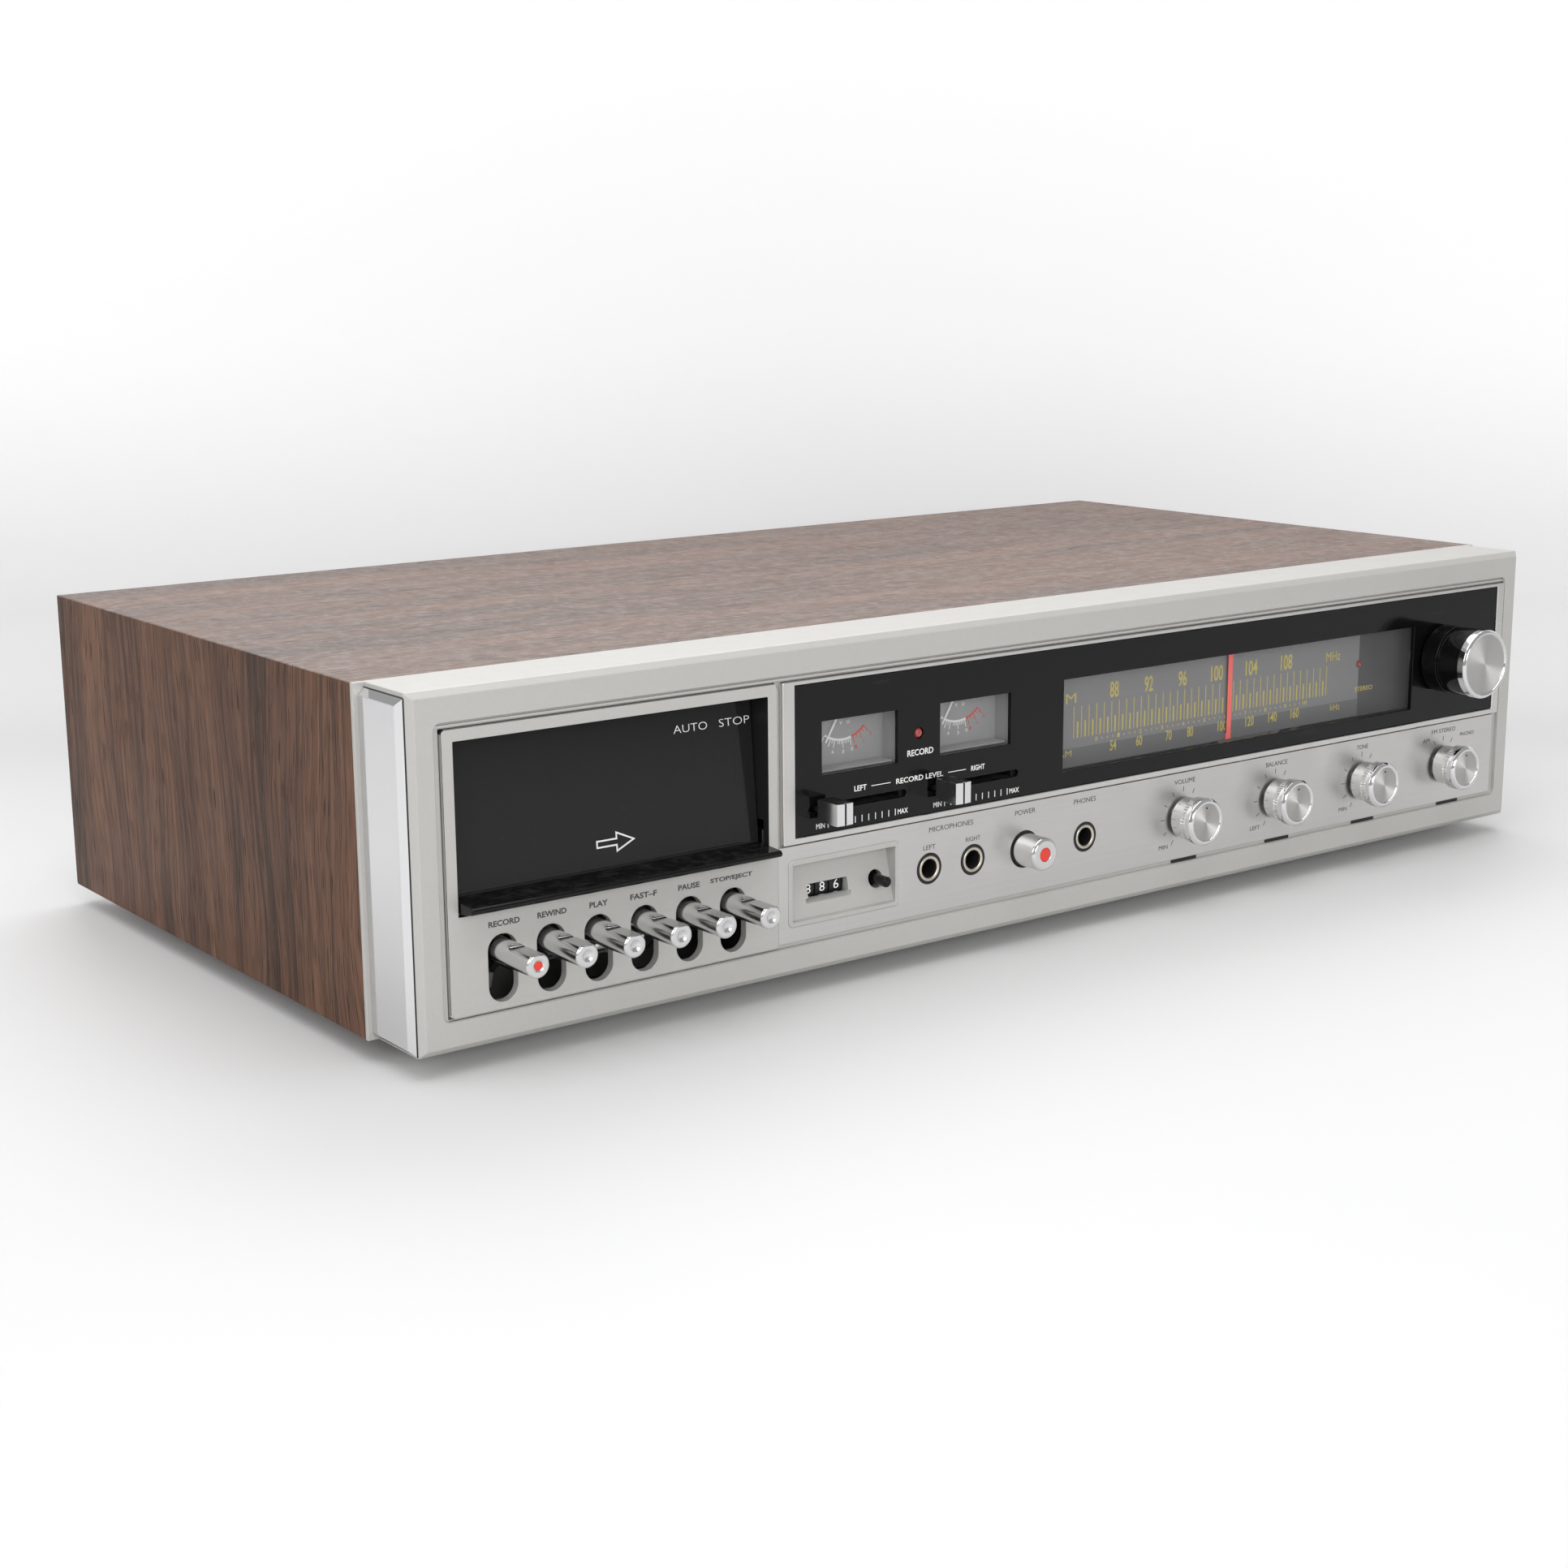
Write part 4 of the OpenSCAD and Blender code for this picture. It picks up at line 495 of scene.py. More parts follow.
def row_of(name, mesh, count, pitch, body, slot, look):
    """Copies of a shape to the right, a pitch apart."""
    inputs = [("Count", "Int", 2), ("Step", "Vector", (0.001, 0, 0))]
    tree = copies_group("Row of copies", inputs, in_row)
    repeat(name, mesh, tree, {"Count": count, "Step": (pitch * MM, 0.0, 0.0)}, body, slot, look)


def ring_of(name, mesh, about, count, first, gap, body, slot, look):
    """Copies of a shape that is drawn about the origin, turned round a point of the cabinet."""
    inputs = [
        ("Count", "Int", 2), ("First angle", "Float", 0.0), ("Step angle", "Float", 0.5),
        ("Centre", "Vector", (0, 0, 0)),
    ]
    values = {
        "Count": count, "First angle": first, "Step angle": gap,
        "Centre": tuple(PLACE @ Vector(about)),
    }
    tree = copies_group("Ring of copies", inputs, in_ring)
    repeat(name, mesh, tree, values, body, slot, look, place=Matrix.Scale(MM, 4))


def screw_head(name, radius, height, turn, about):
    """A pan-head screw with a cross recess, about the origin, its head forward until turned."""
    mesh = bmesh.new()
    outline = [
        (radius, 0.0), (radius, -0.35 * height), (radius * 0.86, -0.8 * height),
        (radius * 0.5, -height),
    ]
    rings = lathe(mesh, outline, 0, 0, steps=20)
    mesh.faces.new(list(reversed(rings[0])))
    arm, wide, depth = radius * 0.46, radius * 0.13, -0.35 * height
    quarter = ((arm, wide), (wide, wide), (wide, arm))
    cross = [
        *quarter, *((-u, v) for u, v in quarter[::-1]),
        *((-u, -v) for u, v in quarter), *((u, -v) for u, v in quarter[::-1]),
    ]
    lip = [mesh.verts.new((u, -height, v)) for u, v in cross]
    floor = [mesh.verts.new((u, depth, v)) for u, v in cross]
    mesh.faces.new(floor)
    for k in range(len(cross)):
        j = (k + 1) % len(cross)
        mesh.faces.new((lip[k], lip[j], floor[j], floor[k]))
    bmesh.ops.bridge_loops(mesh, edges=[e for e in mesh.edges if e.is_boundary])
    bmesh.ops.recalc_face_normals(mesh, faces=mesh.faces)
    if turn:
        bmesh.ops.rotate(mesh, verts=mesh.verts, matrix=Matrix.Rotation(turn, 3, about))
    mesh.transform(Matrix.Scale(MM, 4))
    return mesh_object(name, mesh)


def screws(name, places, radius, height, axis, seed, turn=0.0, about="Z"):
    """Pan-head screws at places of the cabinet, each turned at random about an axis."""
    pattern = screw_head(name + "_pattern", radius, height, turn, about)
    points = bmesh.new()
    for place in places:
        points.verts.new(PLACE @ Vector(place))
    inputs = [("Piece", "Object", None), ("Axis", "Vector", (0, 0, 1)), ("Seed", "Int", 3)]
    repeat(
        name, points, copies_group("Scattered copies", inputs, at_vertices),
        {"Piece": pattern, "Axis": axis, "Seed": seed}, "cabinet", "bright_steel", "Turned steel",
        place=Matrix.Identity(4), flip=False,
    )
    bpy.data.objects.remove(pattern)


# Lettering


def glyphs(text, bold=0.0):
    """A text's mesh in the XY plane, and its extent as x0, x1, y0, y1."""
    curve = bpy.data.curves.new("word", "FONT")
    curve.body = text
    curve.size = 10.0
    curve.resolution_u = 3
    curve.extrude = 0.5
    curve.offset = bold
    holder = link(bpy.data.objects.new("word", curve))
    shape = baked(holder)
    bpy.data.objects.remove(holder)
    bpy.data.curves.remove(curve)
    xs, ys = ([v.co[k] for v in shape.vertices] for k in (0, 1))
    return shape, min(xs), max(xs), min(ys), max(ys)


def words(name, entries, y, body, slot, look, lean=0.0, bold=0.16):
    """Printed words that face the front: text, left x, right x, foot z and head z of each.

    y is the place of the printed face at z = 0, and lean is how far it recedes per unit of height.
    """
    depth = bpy.context.scene.recorder_front.ink
    joined = bmesh.new()
    for text, x0, x1, z0, z1 in entries:
        shape, left, right, foot, head = glyphs(text, bold)
        wide, tall = (x1 - x0) / (right - left), (z1 - z0) / (head - foot)
        one = bmesh.new()
        one.from_mesh(shape)
        bmesh.ops.remove_doubles(one, verts=one.verts, dist=0.0001)
        for v in one.verts:
            x, z = x0 + (v.co.x - left) * wide, z0 + (v.co.y - foot) * tall
            v.co = Vector((x, y + lean * z - depth * (v.co.z + 0.5), z))
        one.to_mesh(shape)
        one.free()
        joined.from_mesh(shape)
        bpy.data.meshes.remove(shape)
    bmesh.ops.recalc_face_normals(joined, faces=joined.faces)
    return make(name, joined, body, slot, look, weld=False, crease=20)


def centred(text, x, z0, z1, width):
    return (text, x - width / 2, x + width / 2, z0, z1)


def line(z0, z1, *entries):
    """Words that stand on one line: each is text, left x and right x."""
    return [(*entry, z0, z1) for entry in entries]


# Shader groups


def maths(tree, operation, a, b=0.0, c=0.0, clamp=False):
    values = {0: a, 1: b, 2: c}
    return add(tree, "ShaderNodeMath", values, operation=operation, use_clamp=clamp).outputs[0]


def stretched(tree, vector, scale, detail=2.0, rough=0.55, offset=(0, 0, 0)):
    """Noise on coordinates multiplied by a vector."""
    moved = add(
        tree, "ShaderNodeVectorMath", {0: vector, 1: scale, 2: offset}, operation="MULTIPLY_ADD"
    ).outputs[0]
    values = {"Vector": moved, "Scale": 1.0, "Detail": detail, "Roughness": rough}
    return add(tree, "ShaderNodeTexNoise", values).outputs[0]


def step(tree, value, low, high, to_low=0.0, to_high=1.0):
    values = {
        "Value": value, "From Min": low, "From Max": high, "To Min": to_low, "To Max": to_high
    }
    return add(tree, "ShaderNodeMapRange", values, interpolation_type="SMOOTHSTEP").outputs[0]


def mix(tree, factor, one, two):
    made = add(tree, "ShaderNodeMix", data_type="RGBA", blend_type="MIX")
    for k, value in ((0, factor), (6, one), (7, two)):
        if isinstance(value, bpy.types.NodeSocket):
            tree.links.new(value, made.inputs[k])
        else:
            made.inputs[k].default_value = (*value[:3], 1.0)
    return made.outputs[2]


def part(tree, vector, k):
    return add(tree, "ShaderNodeSeparateXYZ", {0: vector}).outputs[k]


def place_of(tree, kind="Object"):
    return add(tree, "ShaderNodeTexCoord").outputs[kind]


def fill_wear(tree, given):
    """Smudges, fine scratches, and a mask for faces that look up, which is both dust and painted
    sheen.
    """
    where = place_of(tree)
    smudge = step(tree, stretched(tree, where, (38, 38, 38), 4, 0.6), 0.45, 0.75)
    scratch = step(tree, stretched(tree, where, (35, 1400, 260), 2, 0.4), 0.68, 0.74)
    up = step(tree, part(tree, add(tree, "ShaderNodeNewGeometry").outputs["Normal"], 2), 0.6, 1.0)
    lint = step(tree, stretched(tree, where, (260, 260, 260), 5, 0.7), 0.42, 0.72)
    return {
        "Smudge": maths(tree, "MULTIPLY", smudge, given["Smudge"]),
        "Speckle": stretched(tree, where, (900, 900, 900), 2),
        "Scratch": maths(tree, "MULTIPLY", scratch, given["Scratch"]),
        "Dust": maths(tree, "MULTIPLY", maths(tree, "MULTIPLY", up, lint), given["Dust"]),
    }


def fill_wood(tree, given):
    """Straight walnut grain that varies across Y and runs round the cabinet."""
    where = place_of(tree)
    bend = stretched(tree, where, (5, 9, 5), 2)
    lean = maths(tree, "MULTIPLY", maths(tree, "SUBTRACT", bend, 0.5), 0.05)
    sway = add(tree, "ShaderNodeCombineXYZ", {"Y": lean}).outputs[0]
    moved = add(tree, "ShaderNodeVectorMath", {0: where, 1: sway}, operation="ADD").outputs[0]
    bands = stretched(tree, moved, (2.6, 62, 2.6), 3, 0.6)
    streaks = stretched(tree, moved, (9, 420, 9), 3, 0.6, (3.1, 0, 1.7))
    flecks = stretched(tree, moved, (26, 560, 26), 2, 0.6, (1.9, 2.0, 4.4))
    fibres = stretched(tree, moved, (30, 1400, 30), 1, 0.5, (0.4, 5.0, 2.2))
    pores = step(tree, stretched(tree, moved, (85, 2000, 85), 0, 0.5, (7.4, 1.0, 0.2)), 0.60, 0.70)
    pores = maths(tree, "MULTIPLY", pores, step(tree, streaks, 0.30, 0.62, 0.45, 1.0))
    streaks = maths(tree, "MULTIPLY", streaks, 0.30)
    tone = maths(tree, "ADD", maths(tree, "MULTIPLY", bands, 0.44), streaks)
    tone = maths(tree, "MULTIPLY_ADD", flecks, 0.26, tone)
    light = mix(tree, step(tree, tone, 0.38, 0.53), given["Dark"], given["Middle"])
    light = mix(tree, step(tree, tone, 0.50, 0.66), light, given["Light"])
    thread = maths(tree, "MULTIPLY", step(tree, fibres, 0.5, 0.72), 0.35)
    light = mix(tree, thread, light, given["Dark"])
    light = mix(tree, maths(tree, "MULTIPLY", pores, 0.75), light, given["Pores"])
    height = maths(tree, "SUBTRACT", maths(tree, "MULTIPLY", fibres, 0.25), pores)
    return {"Color": light, "Height": height}


def fill_brush(tree, given):
    """Brush lines along X, on metal that faces the front or the top."""
    where = place_of(tree)
    fine = maths(tree, "MULTIPLY", stretched(tree, where, (30, 6000, 6000), 2), 0.6)
    broad = stretched(tree, where, (7, 900, 900), 2, 0.5, (1.3, 0, 0))
    lines = maths(tree, "ADD", fine, maths(tree, "MULTIPLY", broad, 0.4))
    return {"Lines": lines, "Cloud": stretched(tree, where, (6, 30, 45), 3)}


def colour_input(label, base):
    return (label, "Color", (*base, 1))


GROUPS = {
    "Wear": (
        [("Smudge", "Float", 0.3), ("Scratch", "Float", 0.3), ("Dust", "Float", 0.2)],
        [(label, "Float") for label in ("Smudge", "Speckle", "Scratch", "Dust")], fill_wear,
    ),
    "Walnut grain": (
        [colour_input("Dark", (0.08, 0.04, 0.03)), colour_input("Middle", (0.2, 0.11, 0.07)),
         colour_input("Light", (0.33, 0.2, 0.14)), colour_input("Pores", (0.03, 0.015, 0.01))],
        [("Color", "Color"), ("Height", "Float")], fill_wood,
    ),
    "Brush lines": ([], [("Lines", "Float"), ("Cloud", "Float")], fill_brush),
}


def group(tree, name, **values):
    """A node of one of the groups above; returns its outputs."""
    made = tree.nodes.new("ShaderNodeGroup")
    made.node_tree = node_group("ShaderNodeTree", name, *GROUPS[name])
    for label, value in values.items():
        made.inputs[label].default_value = value
    return made.outputs


# Materials


def material(name, base, metallic=0.0, roughness=0.4, **sockets):
    """A material with a Principled surface; returns it with its tree and the surface's inputs."""
    made = bpy.data.materials.new(name)
    made.use_nodes = True
    surface = made.node_tree.nodes["Principled BSDF"]
    values = {"Base_Color": (*base, 1.0), "Metallic": metallic, "Roughness": roughness, **sockets}
    for label, value in values.items():
        surface.inputs[label.replace("_", " ")].default_value = value
    made.diffuse_color = (*base, 1.0)
    return made, made.node_tree, surface.inputs


def times(base, factor, more=0.0):
    return tuple(min(1, c * factor + more) for c in base)


def bump(tree, surface, height, strength, distance):
    values = {"Strength": strength, "Distance": distance, "Height": height}
    tree.links.new(add(tree, "ShaderNodeBump", values).outputs[0], surface["Normal"])


def worn(
    name, base, metallic=0.0, roughness=0.4, smudge=0.3, scratch=0.3, dust=0.15, speckle=0.04,
    relief=0.15, **sockets
):
    """A paint, plastic or metal with smudges, scratches, a fine speckle, and pale dust on faces
    that look up that is also painted sheen.
    """
    made, tree, surface = material(name, base, metallic, roughness, **sockets)
    wear = group(tree, "Wear", Smudge=smudge, Scratch=scratch, Dust=dust)
    grain = maths(tree, "MULTIPLY", maths(tree, "SUBTRACT", wear["Speckle"], 0.5), speckle)
    rough = maths(tree, "ADD", maths(tree, "MULTIPLY_ADD", wear["Smudge"], 0.25, roughness), grain)
    rough = maths(tree, "MULTIPLY_ADD", wear["Dust"], 0.3, rough, clamp=True)
    tree.links.new(rough, surface["Roughness"])
    hair = maths(tree, "MULTIPLY", wear["Scratch"], 0.5)
    colour = mix(tree, hair, base, times(base, 1.5, 0.05))
    colour = mix(tree, maths(tree, "MULTIPLY", wear["Smudge"], 0.12), colour, times(base, 0.6))
    if speckle > 0.05:
        fleck = maths(
            tree, "MULTIPLY_ADD", wear["Speckle"], speckle * 6, 0.5 - speckle * 3, clamp=True
        )
        colour = mix(tree, fleck, times(base, 1 - 1.2 * speckle), colour)
    # Pale grey on faces that look up: dust, and painted sheen where the tops catch the light
    colour = mix(tree, wear["Dust"], colour, (0.42, 0.41, 0.39))
    tree.links.new(colour, surface["Base Color"])
    height = maths(tree, "SUBTRACT", wear["Speckle"], wear["Scratch"])
    bump(tree, surface, height, relief, 0.00005)


def walnut(name, base):
    dark = tuple(bpy.context.scene.recorder_cabinet.wood_dark)
    made, tree, surface = material(name, base, 0.0, 0.42, Specular_IOR_Level=0.16)
    grain = group(
        tree, "Walnut grain", Dark=(*dark, 1), Middle=(*base, 1),
        Light=(*times(base, 1.55, 0.006), 1), Pores=(*times(dark, 0.35), 1),
    )
    wear = group(tree, "Wear", Smudge=0.5, Scratch=0.5, Dust=0.3)
    # Pale mix on faces that look up: dust, and painted sheen where the top catches the light
    colour = mix(tree, wear["Dust"], grain["Color"], (0.42, 0.375, 0.36))
    hair = maths(tree, "MULTIPLY", wear["Scratch"], 0.25)
    tree.links.new(mix(tree, hair, colour, (0.35, 0.26, 0.2)), surface["Base Color"])
    rough = maths(tree, "MULTIPLY_ADD", grain["Height"], -0.12, 0.40)
    rough = maths(tree, "MULTIPLY_ADD", wear["Smudge"], 0.12, rough, clamp=True)
    tree.links.new(rough, surface["Roughness"])
    # The top is polished by use, the sides have kept their matt film
    facing = step(tree, part(tree, place_of(tree, "Normal"), 2), 0.5, 0.9)
    polish = maths(tree, "MULTIPLY_ADD", facing, 0.42, 0.14)
    tree.links.new(polish, surface["Specular IOR Level"])
    bump(tree, surface, grain["Height"], 0.7, 0.00008)


def brushed(name, base, roughness, amount, relief):
    made, tree, surface = material(name, base, 1.0, roughness, Anisotropic=0.6)
    across = add(tree, "ShaderNodeCombineXYZ", {"Z": 1.0})
    tree.links.new(across.outputs[0], surface["Tangent"])
    lines = group(tree, "Brush lines")
    wear = group(tree, "Wear", Smudge=0.35, Scratch=0.2, Dust=0.1)
    shift = maths(tree, "MULTIPLY", maths(tree, "SUBTRACT", lines["Lines"], 0.5), amount)
    tone = maths(tree, "ADD", shift, 0.5, clamp=True)
    tree.links.new(mix(tree, tone, times(base, 0.80), times(base, 1.12)), surface["Base Color"])
    rough = maths(tree, "MULTIPLY_ADD", shift, 0.3, roughness)
    rough = maths(tree, "MULTIPLY_ADD", lines["Cloud"], 0.08, rough)
    rough = maths(tree, "MULTIPLY_ADD", wear["Smudge"], 0.12, rough, clamp=True)
    tree.links.new(rough, surface["Roughness"])
    bump(tree, surface, lines["Lines"], relief, 0.00002)


# Angle of the painted highlight, a bright wedge mixed into the colour of a turned end face, in
# degrees up from the right
PAINTED_GLINT = 128.0


def spun(name, base):
    """Metal turned on a lathe: it shines along the U direction of the piece's own map, and a
    painted highlight, a bright wedge at a fixed angle, is mixed into its colour.
    """
    rough = 0.42
    made, tree, surface = material(
        name, base, 1.0, rough, Anisotropic=0.8, Anisotropic_Rotation=0.25
    )
    uv = add(tree, "ShaderNodeUVMap", uv_map="spun").outputs[0]
    rings = stretched(tree, uv, (1.5, 900, 1), 2)
    # Painted highlight: a bright wedge by the angle round the face, mixed into the colour
    turn = part(tree, uv, 0)
    turn = maths(tree, "MULTIPLY_ADD", turn, 4 * math.pi, -2 * math.radians(PAINTED_GLINT))
    painted_glint = maths(tree, "MULTIPLY_ADD", maths(tree, "COSINE", turn), 0.5, 0.5, clamp=True)
    painted_glint = maths(tree, "POWER", painted_glint, 5.0)
    tone = maths(tree, "MULTIPLY_ADD", rings, 0.35, -0.05)
    tone = maths(tree, "MULTIPLY_ADD", painted_glint, 0.85, tone, clamp=True)
    tree.links.new(mix(tree, tone, times(base, 0.62), times(base, 1.25)), surface["Base Color"])
    tree.links.new(maths(tree, "MULTIPLY_ADD", rings, 0.12, rough - 0.06), surface["Roughness"])
    tangent = add(tree, "ShaderNodeTangent", direction_type="UV_MAP", uv_map="spun")
    tree.links.new(tangent.outputs[0], surface["Tangent"])
    bump(tree, surface, rings, 0.12, 0.00002)


# A print; a glow above nought is emission although the print is no lamp: painted light
def printed(name, base, glow=0.0):
    worn(
        name, base, 0.0, 0.45, smudge=0.2, scratch=0.0, dust=0.0, speckle=0.05, relief=0.05,
        Emission_Color=(*base, 1.0), Emission_Strength=glow,
    )


def smoked(name, tint, clearness, roughness):
    """Thin smoked sheet: part of it lets light through, the rest is its own colour."""
    solid = 1.0 - clearness
    made, tree, surface = material(
        name, tint, 0.0, roughness, Alpha=solid, Specular_IOR_Level=0.25
    )
    wear = group(tree, "Wear", Smudge=0.3, Scratch=0.25, Dust=0.05)
    for mark, factor, base, socket in (
        ("Smudge", 0.10, roughness, "Roughness"), ("Scratch", 0.12, solid, "Alpha"),
    ):
        level = maths(tree, "MULTIPLY_ADD", wear[mark], factor, base, clamp=True)
        tree.links.new(level, surface[socket])


# Emission that makes a part glow although it is no lamp: painted light
def lit(glow, base=(1, 1, 1)):
    return {"Emission_Color": (*base, 1), "Emission_Strength": glow}


# How each material is built: by what, from which base colour or setting, and with which values
LOOKS = {
    "Walnut vinyl": (walnut, "cabinet.wood"),
    "Silver paint": (
        worn, "cabinet.silver", 0.25, 0.42,
        dict(smudge=0.3, scratch=0.12, dust=0.12, speckle=0.10, relief=0.22),
    ),
    "Bright chrome": (
        worn, (0.76, 0.76, 0.77), 1.0, 0.05,
        dict(smudge=0.16, scratch=0.1, dust=0.04, speckle=0.01, relief=0.02),
    ),
    "Satin chrome": (
        worn, (0.70, 0.70, 0.70), 1.0, 0.17,
        dict(smudge=0.2, scratch=0.15, dust=0.04, speckle=0.02, relief=0.03),
    ),
    "Nickel plate": (worn, (0.66, 0.61, 0.52), 1.0, 0.32, dict(smudge=0.4)),
    "Brass": (worn, (0.62, 0.44, 0.18), 1.0, 0.25, dict(smudge=0.4)),
    "Zinc plate": (brushed, (0.52, 0.52, 0.50), 0.42, 0.5, 0.2),
    "Turned steel": (brushed, (0.62, 0.62, 0.62), 0.25, 0.4, 0.1),
    "Bright aluminium": (brushed, (0.74, 0.73, 0.71), 0.24, 0.3, 0.12),
    "Brushed aluminium": (brushed, (0.74, 0.73, 0.715), 0.34, 0.55, 0.35),
    "Spun aluminium": (spun, (0.74, 0.73, 0.71)),
    "Spun disc": (spun, (0.70, 0.69, 0.67)),
    "Black gloss": (
        worn, (0.004, 0.004, 0.0045), 0.0, 0.09,
        dict(smudge=0.2, scratch=0.2, dust=0.05, speckle=0.01, relief=0.02,
             Specular_IOR_Level=0.25),
    ),
    "Black satin": (
        worn, (0.016, 0.016, 0.017), 0.0, 0.38,
        dict(smudge=0.3, scratch=0.2, dust=0.06, speckle=0.05, Specular_IOR_Level=0.3),
    ),
    "Black rubber": (
        worn, (0.02, 0.02, 0.02), 0.0, 0.6, dict(smudge=0.4, scratch=0.1, dust=0.3, speckle=0.1)
    ),
    "Black phenolic": (worn, (0.02, 0.018, 0.017), 0.0, 0.5, dict(speckle=0.1)),
    "Black paint": (
        worn, (0.028, 0.028, 0.028), 0.0, 0.48,
        dict(smudge=0.4, scratch=0.4, dust=0.2, speckle=0.12, relief=0.3),
    ),
    "Black anodised": (worn, (0.03, 0.03, 0.032), 0.6, 0.45),
    "Smoked window": (smoked, (0.017, 0.017, 0.018), 0.12, 0.04),
    "Smoked lens": (smoked, (0.20, 0.20, 0.205), 0.88, 0.03),
    "Grey moulding": (worn, (0.16, 0.16, 0.155), 0.0, 0.5, dict(speckle=0.06)),
    "Pale moulding": (worn, (0.42, 0.42, 0.42), 0.0, 0.4, dict(speckle=0.05)),
    "White moulding": (worn, (0.62, 0.61, 0.57), 0.0, 0.42, dict(speckle=0.04)),
    # The meter face, the plate, the band and the pointer glow a little by painted light
    "Meter grey": (worn, (0.34, 0.34, 0.345), 0.0, 0.4, dict(speckle=0.05, **lit(0.05))),
    "Grey plate": (worn, (0.165, 0.165, 0.17), 0.0, 0.5, dict(speckle=0.08, **lit(0.015))),
    "Grey print": (worn, (0.24, 0.24, 0.243), 0.0, 0.5, dict(speckle=0.06, **lit(0.03))),
    "Dark grey print": (worn, (0.085, 0.085, 0.088), 0.0, 0.5, dict(speckle=0.08)),
    "Coral pointer": (
        worn, (0.86, 0.12, 0.10), 0.0, 0.35,
        dict(speckle=0.03, dust=0.0, **lit(0.35, (0.9, 0.13, 0.11))),
    ),
    # Painted shade: a dark red for the sides of the pointer
    "Coral pointer side": (worn, (0.10, 0.012, 0.010), 0.0, 0.45, dict(speckle=0.03, dust=0.0)),
    "Waxed cord": (worn, (0.42, 0.36, 0.22), 0.0, 0.7, dict(speckle=0.3, relief=0.5)),
    "Red enamel": (worn, (0.72, 0.045, 0.025), 0.0, 0.3, dict(smudge=0.1, dust=0.0)),
    "Lamp red": (
        worn, (0.36, 0.045, 0.04), 0.0, 0.18,
        dict(smudge=0.1, dust=0.0, Coat_Weight=0.6, Coat_Roughness=0.05),
    ),
    "Red insulator": (worn, (0.40, 0.035, 0.03), 0.0, 0.4),
    "White insulator": (worn, (0.70, 0.70, 0.67), 0.0, 0.4),
    "Brown board": (worn, (0.115, 0.055, 0.022), 0.0, 0.5, dict(speckle=0.2)),
    "Blue can sleeve": (worn, (0.02, 0.035, 0.10), 0.0, 0.3),
    "Varnished iron": (worn, (0.05, 0.05, 0.055), 0.5, 0.5, dict(speckle=0.15)),
    "Winding tape": (worn, (0.36, 0.24, 0.05), 0.0, 0.4),
    "Light print": (printed, "front.print_light"),
    "Dark print": (printed, "front.print_dark"),
    # These prints glow a little by painted light, though they are no lamps
    "Dial print": (printed, "front.dial_print", 0.22),
    "White print": (printed, (0.80, 0.80, 0.80), 0.2),
    "Red print": (printed, (0.62, 0.075, 0.04), 0.2),
    "White needle": (printed, (0.84, 0.84, 0.82), 0.2),
}


def finish(name):
    """The material of that name, built on first use."""
    if name not in bpy.data.materials:
        build, base, *values = LOOKS[name]
        if isinstance(base, str):
            settings, value = base.split(".")
            base = tuple(getattr(getattr(bpy.context.scene, "recorder_" + settings), value))
        more = values.pop() if values and isinstance(values[-1], dict) else {}
        build(name, base, *values, **more)
    return bpy.data.materials[name]


# Pieces


class RECORDER_OT_cabinet(bpy.types.Operator):
    """Walnut sleeve, moulded bezel with its recess, chrome end trims and rubber feet"""

    bl_idname = "recorder.cabinet"
    bl_label = "Cabinet"

    def execute(self, context):
        skin("cabinet_sleeve", "cabinet", "walnut", "Walnut vinyl", edge=0.8, steps=3)
        skin("front_bezel", "cabinet", "silver_plastic", "Silver paint", edge=0.3)
        skin("side_trims", "cabinet", "chrome", "Bright chrome", steps=3)
        skin("feet", "cabinet", "rubber", "Black rubber", edge=0.5)

        # Dark joint along the front and the head of the end trims
        low, high = cabinet_box("side_trims")
        joint = bmesh.new()
        for s in (-1, 1):
            x = s * (high.x - 2.0)
            seam = [(-0.1, 1.76), (0.2, 2.10), (0.1, 2.4), (-0.2, 2.1)]
            prism(joint, [(x + s * u, y) for u, y in seam], low.z + 0.1, high.z, axis="Z")
            side = x + s * 0.12
            block(joint, min(x, side), 2.0, high.z - 0.05, max(x, side), high.y, high.z + 0.3)
        make("trim_joint", joint, "cabinet", "chrome", "Black satin")

        # A raised bead that runs round the recess, a little inside its wall
        low, high = cabinet_box("deck_panel")[0], cabinet_box("dial_frame")[1]
        x0, z0, x1, z1 = low.x - 1.4, low.z + 1.3, high.x + 0.1, high.z + 0.75
        outer = rounded(x0 - 0.7, z0 - 0.7, x1 + 0.25, z1 + 0.7, 1.8)
        inner = rounded(x0, z0, x1, z1, 1.2)
        rings = [
            [(x, y, z) for x, z in outline]
            for outline, y in ((outer, 0.35), (inner, 0.35), (inner, 1.25), (outer, 1.25))
        ]
        bead = drawn(hoop, *rings)
        make("recess_bead", bead, "cabinet", "silver_plastic", "Silver paint", edge=0.12)
        return {"FINISHED"}


